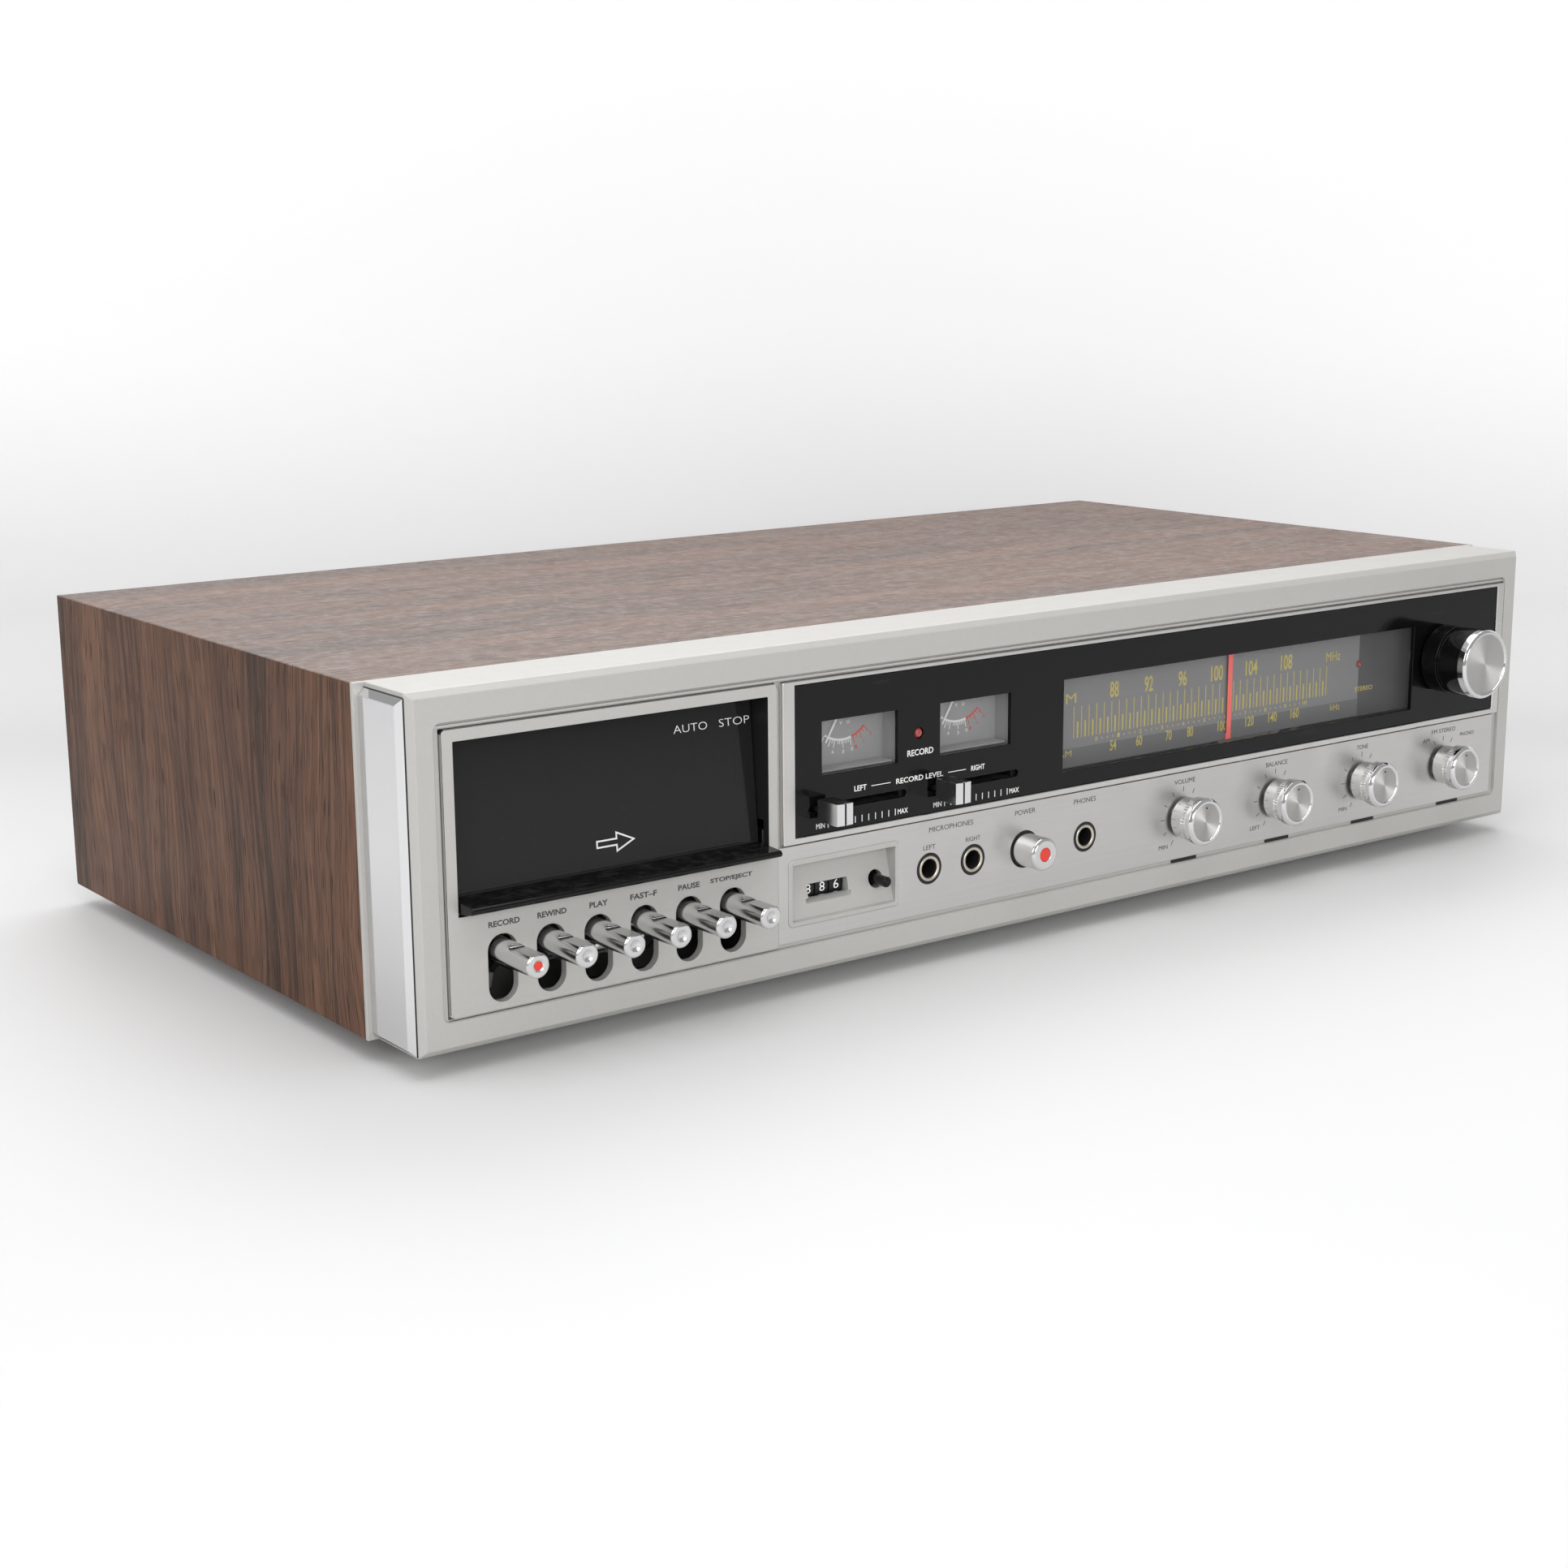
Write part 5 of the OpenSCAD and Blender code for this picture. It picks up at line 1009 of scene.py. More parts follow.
class RECORDER_OT_deck(bpy.types.Operator):
    """Deck panel, smoked door with its finger lip, and the carrier behind it"""

    bl_idname = "recorder.deck"
    bl_label = "Deck and door"

    def execute(self, context):
        low, high = cabinet_box("deck_panel")
        rim = 2

        # Painted shade: the opening's inner walls get black satin where shade falls inside the deck
        def opening(p, n):
            inside = low.x + rim < p.x < high.x - rim and low.z + rim < p.z < high.z - rim
            return p.z > 40.2 and n.y > -0.5 and inside

        skin(
            "deck_panel", "cabinet", "silver_plastic", "Silver paint", "Black satin", edge=0.25,
            paint=opening,
        )
        door = cabinet_box("deck_door")
        foot_y, lean = WINDOW
        front_drop, seam_drop = 2.2, 1.6
        lip_top = LIP_Z - seam_drop

        def wedge(p):
            """Thins the lip towards its front, as the photo shows it."""
            if LIP_Z - 0.8 < p.z < LIP_Z + 0.2 and p.y < foot_y + lean * p.z + 0.2:
                if p.y < door[0].y + 1.5:
                    return Vector((p.x, p.y, p.z - front_drop))
                return Vector((p.x, p.y - seam_drop * lean, p.z - seam_drop))
            return p

        skin(
            "deck_door", "door", "window", "Smoked window", "Black gloss", edge=0.3, steps=3,
            shape=wedge,
            paint=lambda p, n: p.z < lip_top + 0.1 or p.y > foot_y + lean * p.z + 2.6,
        )
        skin("cassette_carrier", "door", "grey_plastic", "Grey moulding", edge=0.2)

        # Dark joint line where the window meets the lip
        y = foot_y + lean * lip_top
        seam = drawn(
            block, door[0].x + 0.5, y - 0.2, lip_top + 0.02, door[1].x - 0.5, y + 0.3,
            lip_top + 0.35,
        )
        make("window_joint", seam, "door", "window", "Black satin", edge=0.08)

        # Pressure springs of the carrier: bent leaves that hold the cassette against the window
        leaves = bmesh.new()
        path = [(26.05, 74), (25.2, 68), (23.9, 62), (24.6, 56), (26.05, 52)]
        strip = path + [(y + 0.3, z) for y, z in reversed(path)]
        for side in (-1, 1):
            x = centre("deck_door").x + side * 48.2
            prism(leaves, strip, x - 1.5, x + 1.5, axis="X")
        make("carrier_leaf_springs", leaves, "door", "bright_steel", "Zinc plate", crease=50)
        return {"FINISHED"}


class RECORDER_OT_keys(bpy.types.Operator):
    """Six chrome key rods with a cup in the end and the red recording mark"""

    bl_idname = "recorder.keys"
    bl_label = "Keys"

    def execute(self, context):
        rod_z = 28.0
        for name in ("record", "rewind", "play", "fast", "pause", "stop"):
            node, body = "key_" + name, name + "_key"
            skin(
                node, body, "chrome", "Satin chrome", "Zinc plate", edge=0.15,
                paint=lambda p, n: p.y > 6.4,
            )
            x, tip = centre(node).x, cabinet_box(node)[0].y
            cup = [(1.75, -0.02), (1.60, 0.05), (1.2, 0.32), (0, 0.4), (0, 0.5), (1.75, 0.45)]
            cup = drawn(lathe, [(r, tip + y) for r, y in cup], x, rod_z, steps=32, closed=True)
            make(node + "_cup", cup, body, "chrome", "Satin chrome", crease=60)
            if name == "record":
                mark = [(1.4, 0.3), (1.36, 0.12), (1.2, 0.05), (0, 0.0)]
                mark = drawn(lathe, [(r, tip + y) for r, y in mark], x, rod_z, steps=32)
                make(node + "_mark", mark, body, "lamp_red", "Red enamel", crease=60)
        return {"FINISHED"}


class RECORDER_OT_transport(bpy.types.Operator):
    """Tape mechanism behind the door: chassis, heads, reels, flywheel, belt and motor"""

    bl_idname = "recorder.transport"
    bl_label = "Tape mechanism"

    def execute(self, context):
        for node, body, slot, look, edge in (
            ("deck_chassis", "cabinet", "steel", "Zinc plate", 0.15),
            ("latch_bar", "latch", "steel", "Zinc plate", 0.15),
            ("door_hinge_pins", "cabinet", "bright_steel", "Turned steel", 0.2),
            ("key_shaft", "cabinet", "bright_steel", "Turned steel", 0.05),
            ("pinch_roller", "roller", "rubber", "Black rubber", 0.1),
            ("supply_reel", "left_reel", "white_plastic", "White moulding", 0.12),
            ("takeup_reel", "right_reel", "white_plastic", "White moulding", 0.12),
            ("capstan_flywheel", "capstan", "bright_steel", "Turned steel", 0.2),
            ("drive_belt", "cabinet", "rubber", "Black rubber", 0.08),
            ("deck_motor", "cabinet", "bright_steel", "Zinc plate", 0.4),
            ("motor_pulley", "pulley", "brass", "Brass", 0.1),
        ):
            skin(node, body, slot, look, edge=edge)
        heads_y1 = cabinet_box("head_slide")[0].y + 9.5
        skin(
            "head_slide", "head_carriage", "steel", "Zinc plate", "Bright chrome", edge=0.12,
            paint=lambda p, n: p.y < heads_y1,
        )
        x = centre("deck_chassis").x
        corners = [(dx, z) for z in (92, 50) for dx in (-53, 53)] + [(-8, 86), (8, 86)]
        places = [(x + dx, 28.0, z) for dx, z in corners]
        screws("chassis_screws", places, 2.2, 1.1, (0.0, 1.0, 0.0), 4)
        return {"FINISHED"}


class RECORDER_OT_dial(bpy.types.Operator):
    """Silver frame, black panel, smoked lens, scale plate, pointer and its cord drive"""

    bl_idname = "recorder.dial"
    bl_label = "Dial"

    def execute(self, context):
        skin("dial_frame", "cabinet", "silver_plastic", "Bright aluminium", edge=0.3, steps=3)
        skin("dial_panel", "cabinet", "black_gloss", "Black gloss", edge=0.18)
        skin("dial_lens", "cabinet", "smoked_lens", "Smoked lens", edge=0.05)
        skin(
            "dial_scale", "cabinet", "scale_black", "Grey plate", "White moulding", edge=0.1,
            paint=lambda p, n: p.y > 11.6,
        )
        # The pointer's side faces are painted a dark red as shade
        skin(
            "dial_pointer", "pointer", "pointer_red", "Coral pointer", "Coral pointer side",
            edge=0.12, paint=lambda p, n: n.y > -0.7,
        )
        low, x = cabinet_box("dial_pointer")[0], centre("dial_pointer").x
        tail = drawn(
            block, x - 1.2, low.y + 0.02, low.z - 2.2, x + 1.2, low.y + 0.58, low.z + 0.2
        )
        make("pointer_tail", tail, "pointer", "pointer_red", "Coral pointer", edge=0.1)
        skin("dial_cord", "cabinet", "cord", "Waxed cord", edge=0.1)
        skin("cord_drum", "drum", "white_plastic", "White moulding", edge=0.15)
        skin("tuning_capacitor", "cabinet", "steel", "Zinc plate", edge=0.25)
        skin("tuning_shaft", "tuner", "bright_steel", "Turned steel", edge=0.15)

        # A paler band behind the scale and a darker end beside it, as the photo shows them
        for name, outline, look in (
            ("scale_band", (3.0, 55.8, 165.6, 88.0, 0.4), "Grey print"),
            ("scale_end", (165.9, 49.3, 214.7, 91.7, 0.4), "Dark grey print"),
        ):
            sheet = drawn(prism, rounded(*outline), SCALE_Y - 0.05, SCALE_Y + 0.02)
            make(name, sheet, "cabinet", "scale_black", look)

        # Scale: long and short ticks as rows of copies
        ink = ("cabinet", "scale_black", "Dial print")
        print_y = SCALE_Y - 0.06
        first, pitch, count = 16.1, 3.644, 37
        for name, x, half, z1, number in (
            ("long", first, 0.17, 70.4, count),
            ("short", first + pitch / 2, 0.33, 65.0, count - 1),
        ):
            tick = drawn(block, x - half, print_y - 0.03, 59.3, x + half, print_y, z1)
            row_of("dial_ticks_" + name, tick, number, pitch, *ink)

        def figures(z0, z1, wide, places):
            return [centred(str(n), x, z0, z1, wide * len(str(n))) for n, x in places.items()]

        fm_places = {88: 35.4, 92: 52.4, 96: 69.5, 100: 87.3, 104: 105.6, 108: 124.6}
        am_places = {
            54: 35.4, 60: 48.3, 70: 63.2, 80: 74.2, 100: 90.8, 120: 105.5, 140: 118.0, 160: 130.2
        }
        units = [
            centred("MHz", 150.8, 72.2, 75.6, 8.0), ("FM", 8.6, 17.0, 71.8, 75.3),
            centred("kHz", 152.9, 52.9, 55.3, 5.4), ("AM", 8.9, 15.2, 53.0, 55.2),
        ]
        words("dial_units", units, print_y, *ink, bold=-0.05)
        both = figures(71.6, 77.3, 2.1, fm_places) + figures(52.5, 56.3, 1.52, am_places)
        words("dial_figures", both, print_y, *ink, bold=0.14)
        log_x, log_step, log_marks = 27.1, 10.85, 11
        log_places = {k: log_x + log_step * k for k in range(log_marks)}
        words("dial_log_figures", figures(57.0, 58.5, 1.15, log_places), print_y, *ink)
        dots = bmesh.new()
        for k in (1, 2, 3):
            x = log_x + log_step * k / 4
            dot = rounded(x - 0.3, 57.45, x + 0.3, 58.05, 0.29, 3)
            prism(dots, dot, print_y - 0.03, print_y)
        row_of("dial_log_dots", dots, log_marks - 1, log_step, *ink)
        stereo = [centred("STEREO", 169.1, 58.6, 60.4, 10.2)]
        words("dial_stereo_word", stereo, print_y, *ink, bold=0.05)
        return {"FINISHED"}


class RECORDER_OT_meters(bpy.types.Operator):
    """Two level meters with printed arcs and white needles, the lamps and the level controls"""

    bl_idname = "recorder.meters"
    bl_label = "Meters and level controls"

    def execute(self, context):
        skin(
            "level_meters", "cabinet", "grey_plastic", "Grey moulding", "Meter grey",
            "Pale moulding", edge=0.15,
            paint=lambda p, n: (1 if n.y < -0.9 else 2) * (3.05 < p.y < 10.2 and 62 < p.z < 88),
        )
        for side in ("left", "right"):
            skin(
                "needle_" + side, side + "_needle", "white_plastic", "White needle", "Meter grey",
                edge=0.05, paint=lambda p, n: p.z >= 82.6,
            )
        skin("indicator_lamps", "cabinet", "lamp_red", "Lamp red", edge=0.12)

        case = ("cabinet", "grey_plastic")
        face, inner, outer = 9.8, 12.5, 13.2
        cz = cabinet_box("needle_left")[1].z - 2.2

        def ray(mesh, cx, turn, r1, half):
            """A printed bar on the meter's face that points away from the needle's pivot."""
            a = math.radians(turn)
            out, side = Vector((math.sin(a), -math.cos(a))), Vector((math.cos(a), math.sin(a)))
            corners = ((outer - 0.02, -half), (outer - 0.02, half), (r1, half), (r1, -half))
            corners = [out * r + side * s for r, s in corners]
            prism(mesh, [(cx + c.x, cz + c.y) for c in corners], face - 0.05, face)

        for side in ("left", "right"):
            cx = cabinet_box("needle_" + side)[1].x - 1.8
            plus = dict(zip("123", (19.5, 31.3, 43.2)))
            minus = dict(zip("630", (-13.5, 1.1, 13.8)))
            for label, a0, a1, main, fine, look in (
                ("scale", -34, 16, (-34, -21.5, -13.6, 1.1, 13.8),
                 (-17.5, -7.5, -4.5, -1.5, 4.5, 7.5, 10.5), "White print"),
                ("overload", 17, 44, plus.values(), (25.5, 37.5), "Red print"),
            ):
                mesh = bmesh.new()
                arc = [math.radians(a0 + (a1 - a0) * k / 16) for k in range(17)]
                outline = [(outer, a) for a in arc] + [(inner, a) for a in arc[::-1]]
                outline = [(cx + r * math.sin(a), cz - r * math.cos(a)) for r, a in outline]
                prism(mesh, outline, face - 0.05, face)
                for turns, r1, half in ((main, 15.6, 0.15), (fine, 14.3, 0.13)):
                    for a in turns:
                        ray(mesh, cx, a, r1, half)
                make(side + "_meter_" + label, mesh, *case, look, weld=False)

            def figures(entries):
                placed = []
                for text, turn in entries.items():
                    a = math.radians(turn)
                    x, z = cx + 16.9 * math.sin(a), cz - 16.9 * math.cos(a)
                    placed.append(centred(text, x, z - 0.6, z + 0.6, 0.8))
                return placed

            unit = line(cz - 7.9, cz - 6.7, ("V", cx - 1.2, cx), ("U", cx + 1.85, cx + 2.95))
            for label, marks, look in (
                ("figures", figures(minus) + unit, "White print"),
                ("plus", figures(plus), "Red print"),
            ):
                words(side + "_meter_" + label, marks, face, *case, look, bold=0.05)
            # Bright ledge along the foot of the window
            ledge = drawn(block, cx - 15.4, 3.2, 63.9, cx + 15.4, 9.6, 64.5)
            make(side + "_meter_ledge", ledge, *case, "Pale moulding", edge=0.1)

        # Level controls: chrome caps with a black line, and their black slots
        for side in ("left", "right"):
            node = "slider_" + side

            def cap(p, n, x=centre(node).x):
                if p.y > -1.7 or abs(p.x - x) < 0.4 and p.y > -11.4:
                    return 1
                return 2 if n.y < -0.5 else 0

            skin(
                node, side + "_slider", "dark_plastic", "Satin chrome", "Black satin",
                "Bright chrome", edge=0.12, paint=cap,
            )
        skin("slide_pots", "cabinet", "dark_plastic", "Black phenolic", edge=0.1)
        return {"FINISHED"}


class RECORDER_OT_tuning_knob(bpy.types.Operator):
    """Black tuning knob with a groove, a chrome rim and a spun aluminium end"""

    bl_idname = "recorder.tuning_knob"
    bl_label = "Tuning knob"

    def execute(self, context):
        mid, front = centre("tuning_knob"), cabinet_box("tuning_knob")[0].y
        skin(
            "tuning_knob", "tuner", "knob_black", "Black gloss", "Bright chrome", edge=0.22,
            steps=3,
            paint=lambda p, n: math.hypot(p.x - mid.x, p.z - mid.z) < 13.5 and p.y < front + 3.4,
        )
        spun_disc(
            "tuning_knob_face", mid.x, mid.z, front + 0.55, 11.45, "tuner", "knob_black",
            "Spun aluminium",
        )
        return {"FINISHED"}


class RECORDER_OT_strip(bpy.types.Operator):
    """Brushed control strip with its sockets, power button, rotary knobs and tick rings"""

    bl_idname = "recorder.strip"
    bl_label = "Control strip"

    def execute(self, context):
        user = context.scene.recorder_front
        skin("control_strip", "cabinet", "aluminium", "Brushed aluminium", edge=0.12)
        skin(
            "control_units", "cabinet", "dark_plastic", "Grey moulding", "Zinc plate", edge=0.2,
            paint=lambda p, n: p.y < 5.1,
        )

        # Plug sockets, each with a black collar and a nickel rim
        low, high = cabinet_box("jack_sockets")
        row = (low.z + high.z) / 2
        xs = (low.x + 6.6, low.x + 25.7, high.x - 6.6)
        skin(
            "jack_sockets", "cabinet", "dark_plastic", "Black satin", "Nickel plate", edge=0.12,
            paint=lambda p, n: p.y < 1.4 and any(
                math.hypot(p.x - x, p.z - row) < 4.25 for x in xs
            ),
        )
        ring = [(4.25, 0.28), (4.9, 0.18), (5.25, 0.3), (5.25, 0.9), (4.25, 0.9)]
        rim = [
            (4.3, 0.30), (4.1, 0.14), (3.9, 0.12), (3.3, 0.34), (3.22, 0.6), (3.22, 1.3), (4.3, 1.3)
        ]
        for k, x in enumerate(xs):
            for name, outline, slot, look, edge in (
                ("socket_ring_%d", ring, "dark_plastic", "Black satin", 0.05),
                ("socket_rim_%d", rim, "plated", "Nickel plate", 0.04),
            ):
                mesh = drawn(lathe, outline, x, row, steps=48, closed=True)
                make(name % (k + 1), mesh, "cabinet", slot, look, edge=edge)

        # Power button with its red insert
        mid, front = centre("power_button"), cabinet_box("power_button")[0].y
        skin(
            "power_button", "power", "chrome", "Satin chrome", "Bright chrome", edge=0.25, steps=3,
            paint=lambda p, n: p.y < front + 0.3 and n.y > -0.95,
        )
        insert = [(2.32, 0.4), (2.32, 0.2), (2.1, 0.12), (0, 0.1)]
        insert = drawn(lathe, [(r, front + y) for r, y in insert], mid.x, mid.z, steps=40)
        make("power_insert", insert, "power", "lamp_red", "Red enamel", crease=40)

        for name, shadow_x in (("volume", 1.8), ("balance", 2.7), ("tone", 2.7), ("function", 5.2)):
            node = name + "_knob"
            mid, front = centre(node), cabinet_box(node)[0].y
            skin(
                node, name, "chrome", "Satin chrome", "Bright chrome", edge=0.10,
                paint=lambda p, n, y=front + 2.2: p.y < y,
            )
            spun_disc(node + "_face", mid.x, mid.z, front + 0.37, 6.65, name, "chrome", "Spun disc")
            # Fine knurl over the fluted ring
            rib = [(-0.14, 8.2), (0.14, 8.2), (0.05, 8.56), (-0.05, 8.56)]
            ring_of(
                node + "_knurl", drawn(prism, rib, front + 2.75, front + 5.1), (mid.x, 0, mid.z),
                user.flutes, 0.0, 2 * math.pi / user.flutes, name, "chrome", "Satin chrome",
            )
            # Index dot near the rim
            dot = [(0, front + 0.31), (0.36, front + 0.31), (0.42, front + 0.36)]
            dot = drawn(lathe, dot, mid.x, mid.z + 5.2, steps=20)
            make(node + "_index", dot, name, "chrome", "Black satin")
            # Printed ticks round the knob
            count, first = (3, -30) if name == "function" else (11, -150)
            tick = drawn(block, -0.12, -user.ink, 9.3, 0.12, 0.0, 11.2)
            ring_of(
                node + "_ticks", tick, (mid.x, 0.4, mid.z), count, math.radians(first),
                math.radians(30), "cabinet", "aluminium", "Dark print",
            )
            # Painted shadow: a black strip in the ledge below the knob, where the knob's shadow
            # falls
            x = mid.x + shadow_x
            slot = drawn(prism, rounded(x - 6.6, 9.55, x + 6.6, 10.75, 0.5), 1.12, 1.22)
            make(node + "_ledge_slot", slot, "cabinet", "silver_plastic", "Black satin")
        return {"FINISHED"}


class RECORDER_OT_counter(bpy.types.Operator):
    """Tape counter: sloping dish, three black wheels with white figures and the reset button"""

    bl_idname = "recorder.counter"
    bl_label = "Tape counter"

    def execute(self, context):
        skin("counter_dish", "cabinet", "silver_plastic", "Silver paint", edge=0.25)
        skin("counter_reset", "reset", "dark_plastic", "Black gloss", edge=0.3, steps=3)
        for name, shown in (("hundreds", 8), ("tens", 8), ("units", 6)):
            node, body = "counter_" + name, name + "_wheel"
            skin(node, body, "dark_plastic", "Black satin", edge=0.15)
            low, high = cabinet_box(node)
            mid, r = (low + high) / 2, (high.z - low.z) / 2
            joined = bmesh.new()
            for k in range(10):
                shape, left, right, foot, head = glyphs(str((shown + k) % 10))
                turn = 2 * math.pi * k / 10
                wide = 2.1 / (right - left) if right - left > 3 else 0.3
                for v in shape.vertices:
                    u = (v.co.x - (left + right) / 2) * wide
                    a = ((v.co.y - foot) / (head - foot) - 0.5) * 3.1 / r + turn
                    out = r + 0.01 + 0.04 * (v.co.z + 0.5)
                    v.co = mid + Vector((u, -out * math.cos(a), out * math.sin(a)))
                joined.from_mesh(shape)
                bpy.data.meshes.remove(shape)
            make(node + "_figures", joined, body, "dark_plastic", "White print", crease=20)
        return {"FINISHED"}


class RECORDER_OT_lettering(bpy.types.Operator):
    """Generic printed words of the deck, the level controls and the control strip"""

    bl_idname = "recorder.lettering"
    bl_label = "Lettering"

    def execute(self, context):
        keys = line(
            35.5, 37.3, ("RECORD", -224.5, -214.0), ("REWIND", -208.0, -198.0),
            ("PLAY", -190.0, -183.5), ("FAST–F", -175.5, -165.8), ("PAUSE", -158.0, -150.0),
            ("STOP/EJECT", -146.0, -130.0),
        )
        deck = cabinet_box("deck_panel")[0].y
        words("key_words", keys, deck, "cabinet", "silver_plastic", "Dark print", bold=0.30)
        window = ("door", "window", "Light print")
        foot_y, lean = WINDOW
        stop = line(82.5, 84.9, ("AUTO", -153.1, -140.6), ("STOP", -136.1, -124.6))
        words("auto_stop_words", stop, foot_y, *window, lean=lean, bold=-0.14)

        # Level controls: words, dashes and a row of ticks below each slot
        panel = cabinet_box("dial_panel")[0].y
        black = ("cabinet", "black_gloss", "Light print")
        levels = line(
            56.8, 58.6, ("LEFT", -89.0, -84.0), ("RECORD LEVEL", -71.7, -51.7),
            ("RIGHT", -39.5, -33.5),
        ) + line(65.2, 67.3, ("RECORD", -67.0, -56.0))
        shifts = (0.0, 48.7)
        for x in shifts:
            levels += line(46.7, 48.4, ("MIN", x - 104.5, x - 101.0), ("MAX", x - 71.0, x - 66.7))
        words("level_words", levels, panel, *black, bold=0.17)
        dashes = bmesh.new()
        for x0, x1 in ((-82.0, -74.0), (-49.5, -41.8)):
            block(dashes, x0, panel - 0.04, 57.6, x1, panel, 57.85)
        make("level_lines", dashes, *black)
        for k, x in enumerate(shifts):
            tick = drawn(block, x - 99.85, panel - 0.04, 46.5, x - 99.55, panel, 48.7)
            row_of("level_ticks_%d" % (k + 1), tick, 11, 2.77, *black)

        names = line(
            38.5, 40.2, ("MICROPHONES", -57.5, -38.3), ("POWER", -19.5, -10.2),
            ("PHONES", 7.8, 18.2), ("VOLUME", 57.0, 67.5), ("BALANCE", 104.8, 116.3),
            ("TONE", 155.2, 161.8),
        )
        names += line(38.9, 40.5, ("FM STEREO", 199.6, 214.0))
        names += line(36.0, 37.5, ("PHONO", 217.2, 225.6), ("AM", 194.4, 198.4))
        names += line(32.8, 34.3, ("LEFT", -60.0, -54.8), ("RIGHT", -41.5, -35.1))
        for knob, low, low_x, low_w, high, high_x, high_w in (
            ("volume", "MIN", -9.6, 4.4, "MAX", 9.6, 4.8),
            ("balance", "LEFT", -10.2, 5.2, "RIGHT", 10.6, 6.4),
            ("tone", "MIN", -9.8, 4.4, "MAX", 9.8, 4.8),
        ):
            x = centre(knob + "_knob").x
            names += [
                centred(low, x + low_x, 15.6, 17.1, low_w),
                centred(high, x + high_x, 15.6, 17.1, high_w),
            ]
        strip = cabinet_box("control_strip")[0].y
        words("strip_words", names, strip, "cabinet", "aluminium", "Dark print", bold=-0.03)

        # Outlined arrow that shows the tape's direction, on the window
        arrow_x, arrow_z = -183.5, 52.8
        outer = [(0, -1.2), (7.0, -1.2), (7.0, -3.2), (14.0, 0), (7.0, 3.2), (7.0, 1.2), (0, 1.2)]
        inner = [
            (0.5, -0.7), (7.5, -0.7), (7.5, -2.4), (12.8, 0), (7.5, 2.4), (7.5, 0.7), (0.5, 0.7)
        ]
        rings = [
            [(u + arrow_x, foot_y + lean * (v + arrow_z) - lift, v + arrow_z) for u, v in outline]
            for outline, lift in ((outer, 0.06), (inner, 0.06), (inner, 0.0), (outer, 0.0))
        ]
        make("direction_arrow", drawn(hoop, *rings), *window)
        return {"FINISHED"}


class RECORDER_OT_rear(bpy.types.Operator):
    """Bottom pan, rear panel, sockets, aerial terminals and the case screws"""

    bl_idname = "recorder.rear"
    bl_label = "Rear and underside"

    def execute(self, context):
        skin("bottom_pan", "cabinet", "steel", "Zinc plate", edge=0.15)
        skin("rear_panel", "cabinet", "rear", "Black paint", edge=0.1)
        low, high = cabinet_box("rear_panel")
        back = high.y

        def moulded(p, n):
            if p.x > 170:
                return p.y <= back + 2.6
            return p.x < 40 or p.y < back - 1 + 0.02

        skin(
            "rear_sockets", "cabinet", "plated", "Nickel plate", "Black satin", edge=0.12,
            paint=moulded,
        )

        # Insulating centres of the phono sockets: red for the lower row, white for the upper
        centres = [
            (1.75, 4.2), (3.1, 4.2), (3.1, 5.42), (2.7, 5.48), (1.9, 5.46), (1.75, 5.2)
        ]
        centres = [(r, back + y) for r, y in centres]
        for k, z, look in ((1, 42.0, "Red insulator"), (2, 59.0, "White insulator")):
            ring = drawn(lathe, centres, 70.0, z, steps=32, closed=True)
            row_of("socket_centres_%d" % k, ring, 4, 22, "cabinet", "plated", look)

        # Words of the rear are drawn as on the front and turned half round
        labels = [
            centred(text, -x, z, z + 2.0, 1.45 * len(text)) for text, x, z in (
                ("LINE OUT", 92.0, 67.5), ("LINE IN", 114.0, 67.5), ("TURNTABLE", 136.0, 67.5),
                ("AM", 184.0, 54.0), ("FM", 220.0, 54.0),
            )
        ]
        piece = words("rear_words", labels, -back, "cabinet", "rear", "Light print")
        piece.data.transform(PLACE @ Matrix.Rotation(math.pi, 4, "Z") @ INTO_CABINET)

        # Case screws on the rear panel and under the pan, turned at random
        places = [
            (x, back, z) for x in (-228, -120, 0, 120, 228) for z in (low.z + 5, high.z - 5)
        ]
        screws("rear_screws", places, 3.2, 1.8, (0.0, 1.0, 0.0), 7, math.pi, "Z")
        low, high = cabinet_box("bottom_pan")
        places = [(x, y, low.z) for x in (-225, -75, 75, 225) for y in (38, high.y - 10)]
        screws("pan_screws", places, 3.0, 1.6, (0.0, 0.0, 1.0), 9, math.pi / 2, "X")
        return {"FINISHED"}


class RECORDER_OT_electronics(bpy.types.Operator):
    """Main board with its parts and the mains transformer"""

    bl_idname = "recorder.electronics"
    bl_label = "Electronics"

    def execute(self, context):
        board = cabinet_box("main_board")
        top, shield_y, sink_x = board[0].z + 1.65, board[1].y - 60, board[0].x + 99

        def fitted(p, n):
            if p.z < top:
                return 0
            if p.y < shield_y:
                return 2
            return 3 if p.x > sink_x else 1

        skin(
            "main_board", "cabinet", "board", "Brown board", "Blue can sleeve", "Zinc plate",
            "Black anodised", edge=0.2, paint=fitted,
        )
        mid_y, foot_z = centre("transformer").y, cabinet_box("transformer")[0].z

        def wound(p, n):
            if abs(p.y - mid_y) > 9.2:
                return 1
            return 2 if p.z < foot_z + 1.3 else 0

        skin(
            "transformer", "cabinet", "iron", "Varnished iron", "Winding tape", "Zinc plate",
            edge=0.3, paint=wound,
        )
        return {"FINISHED"}


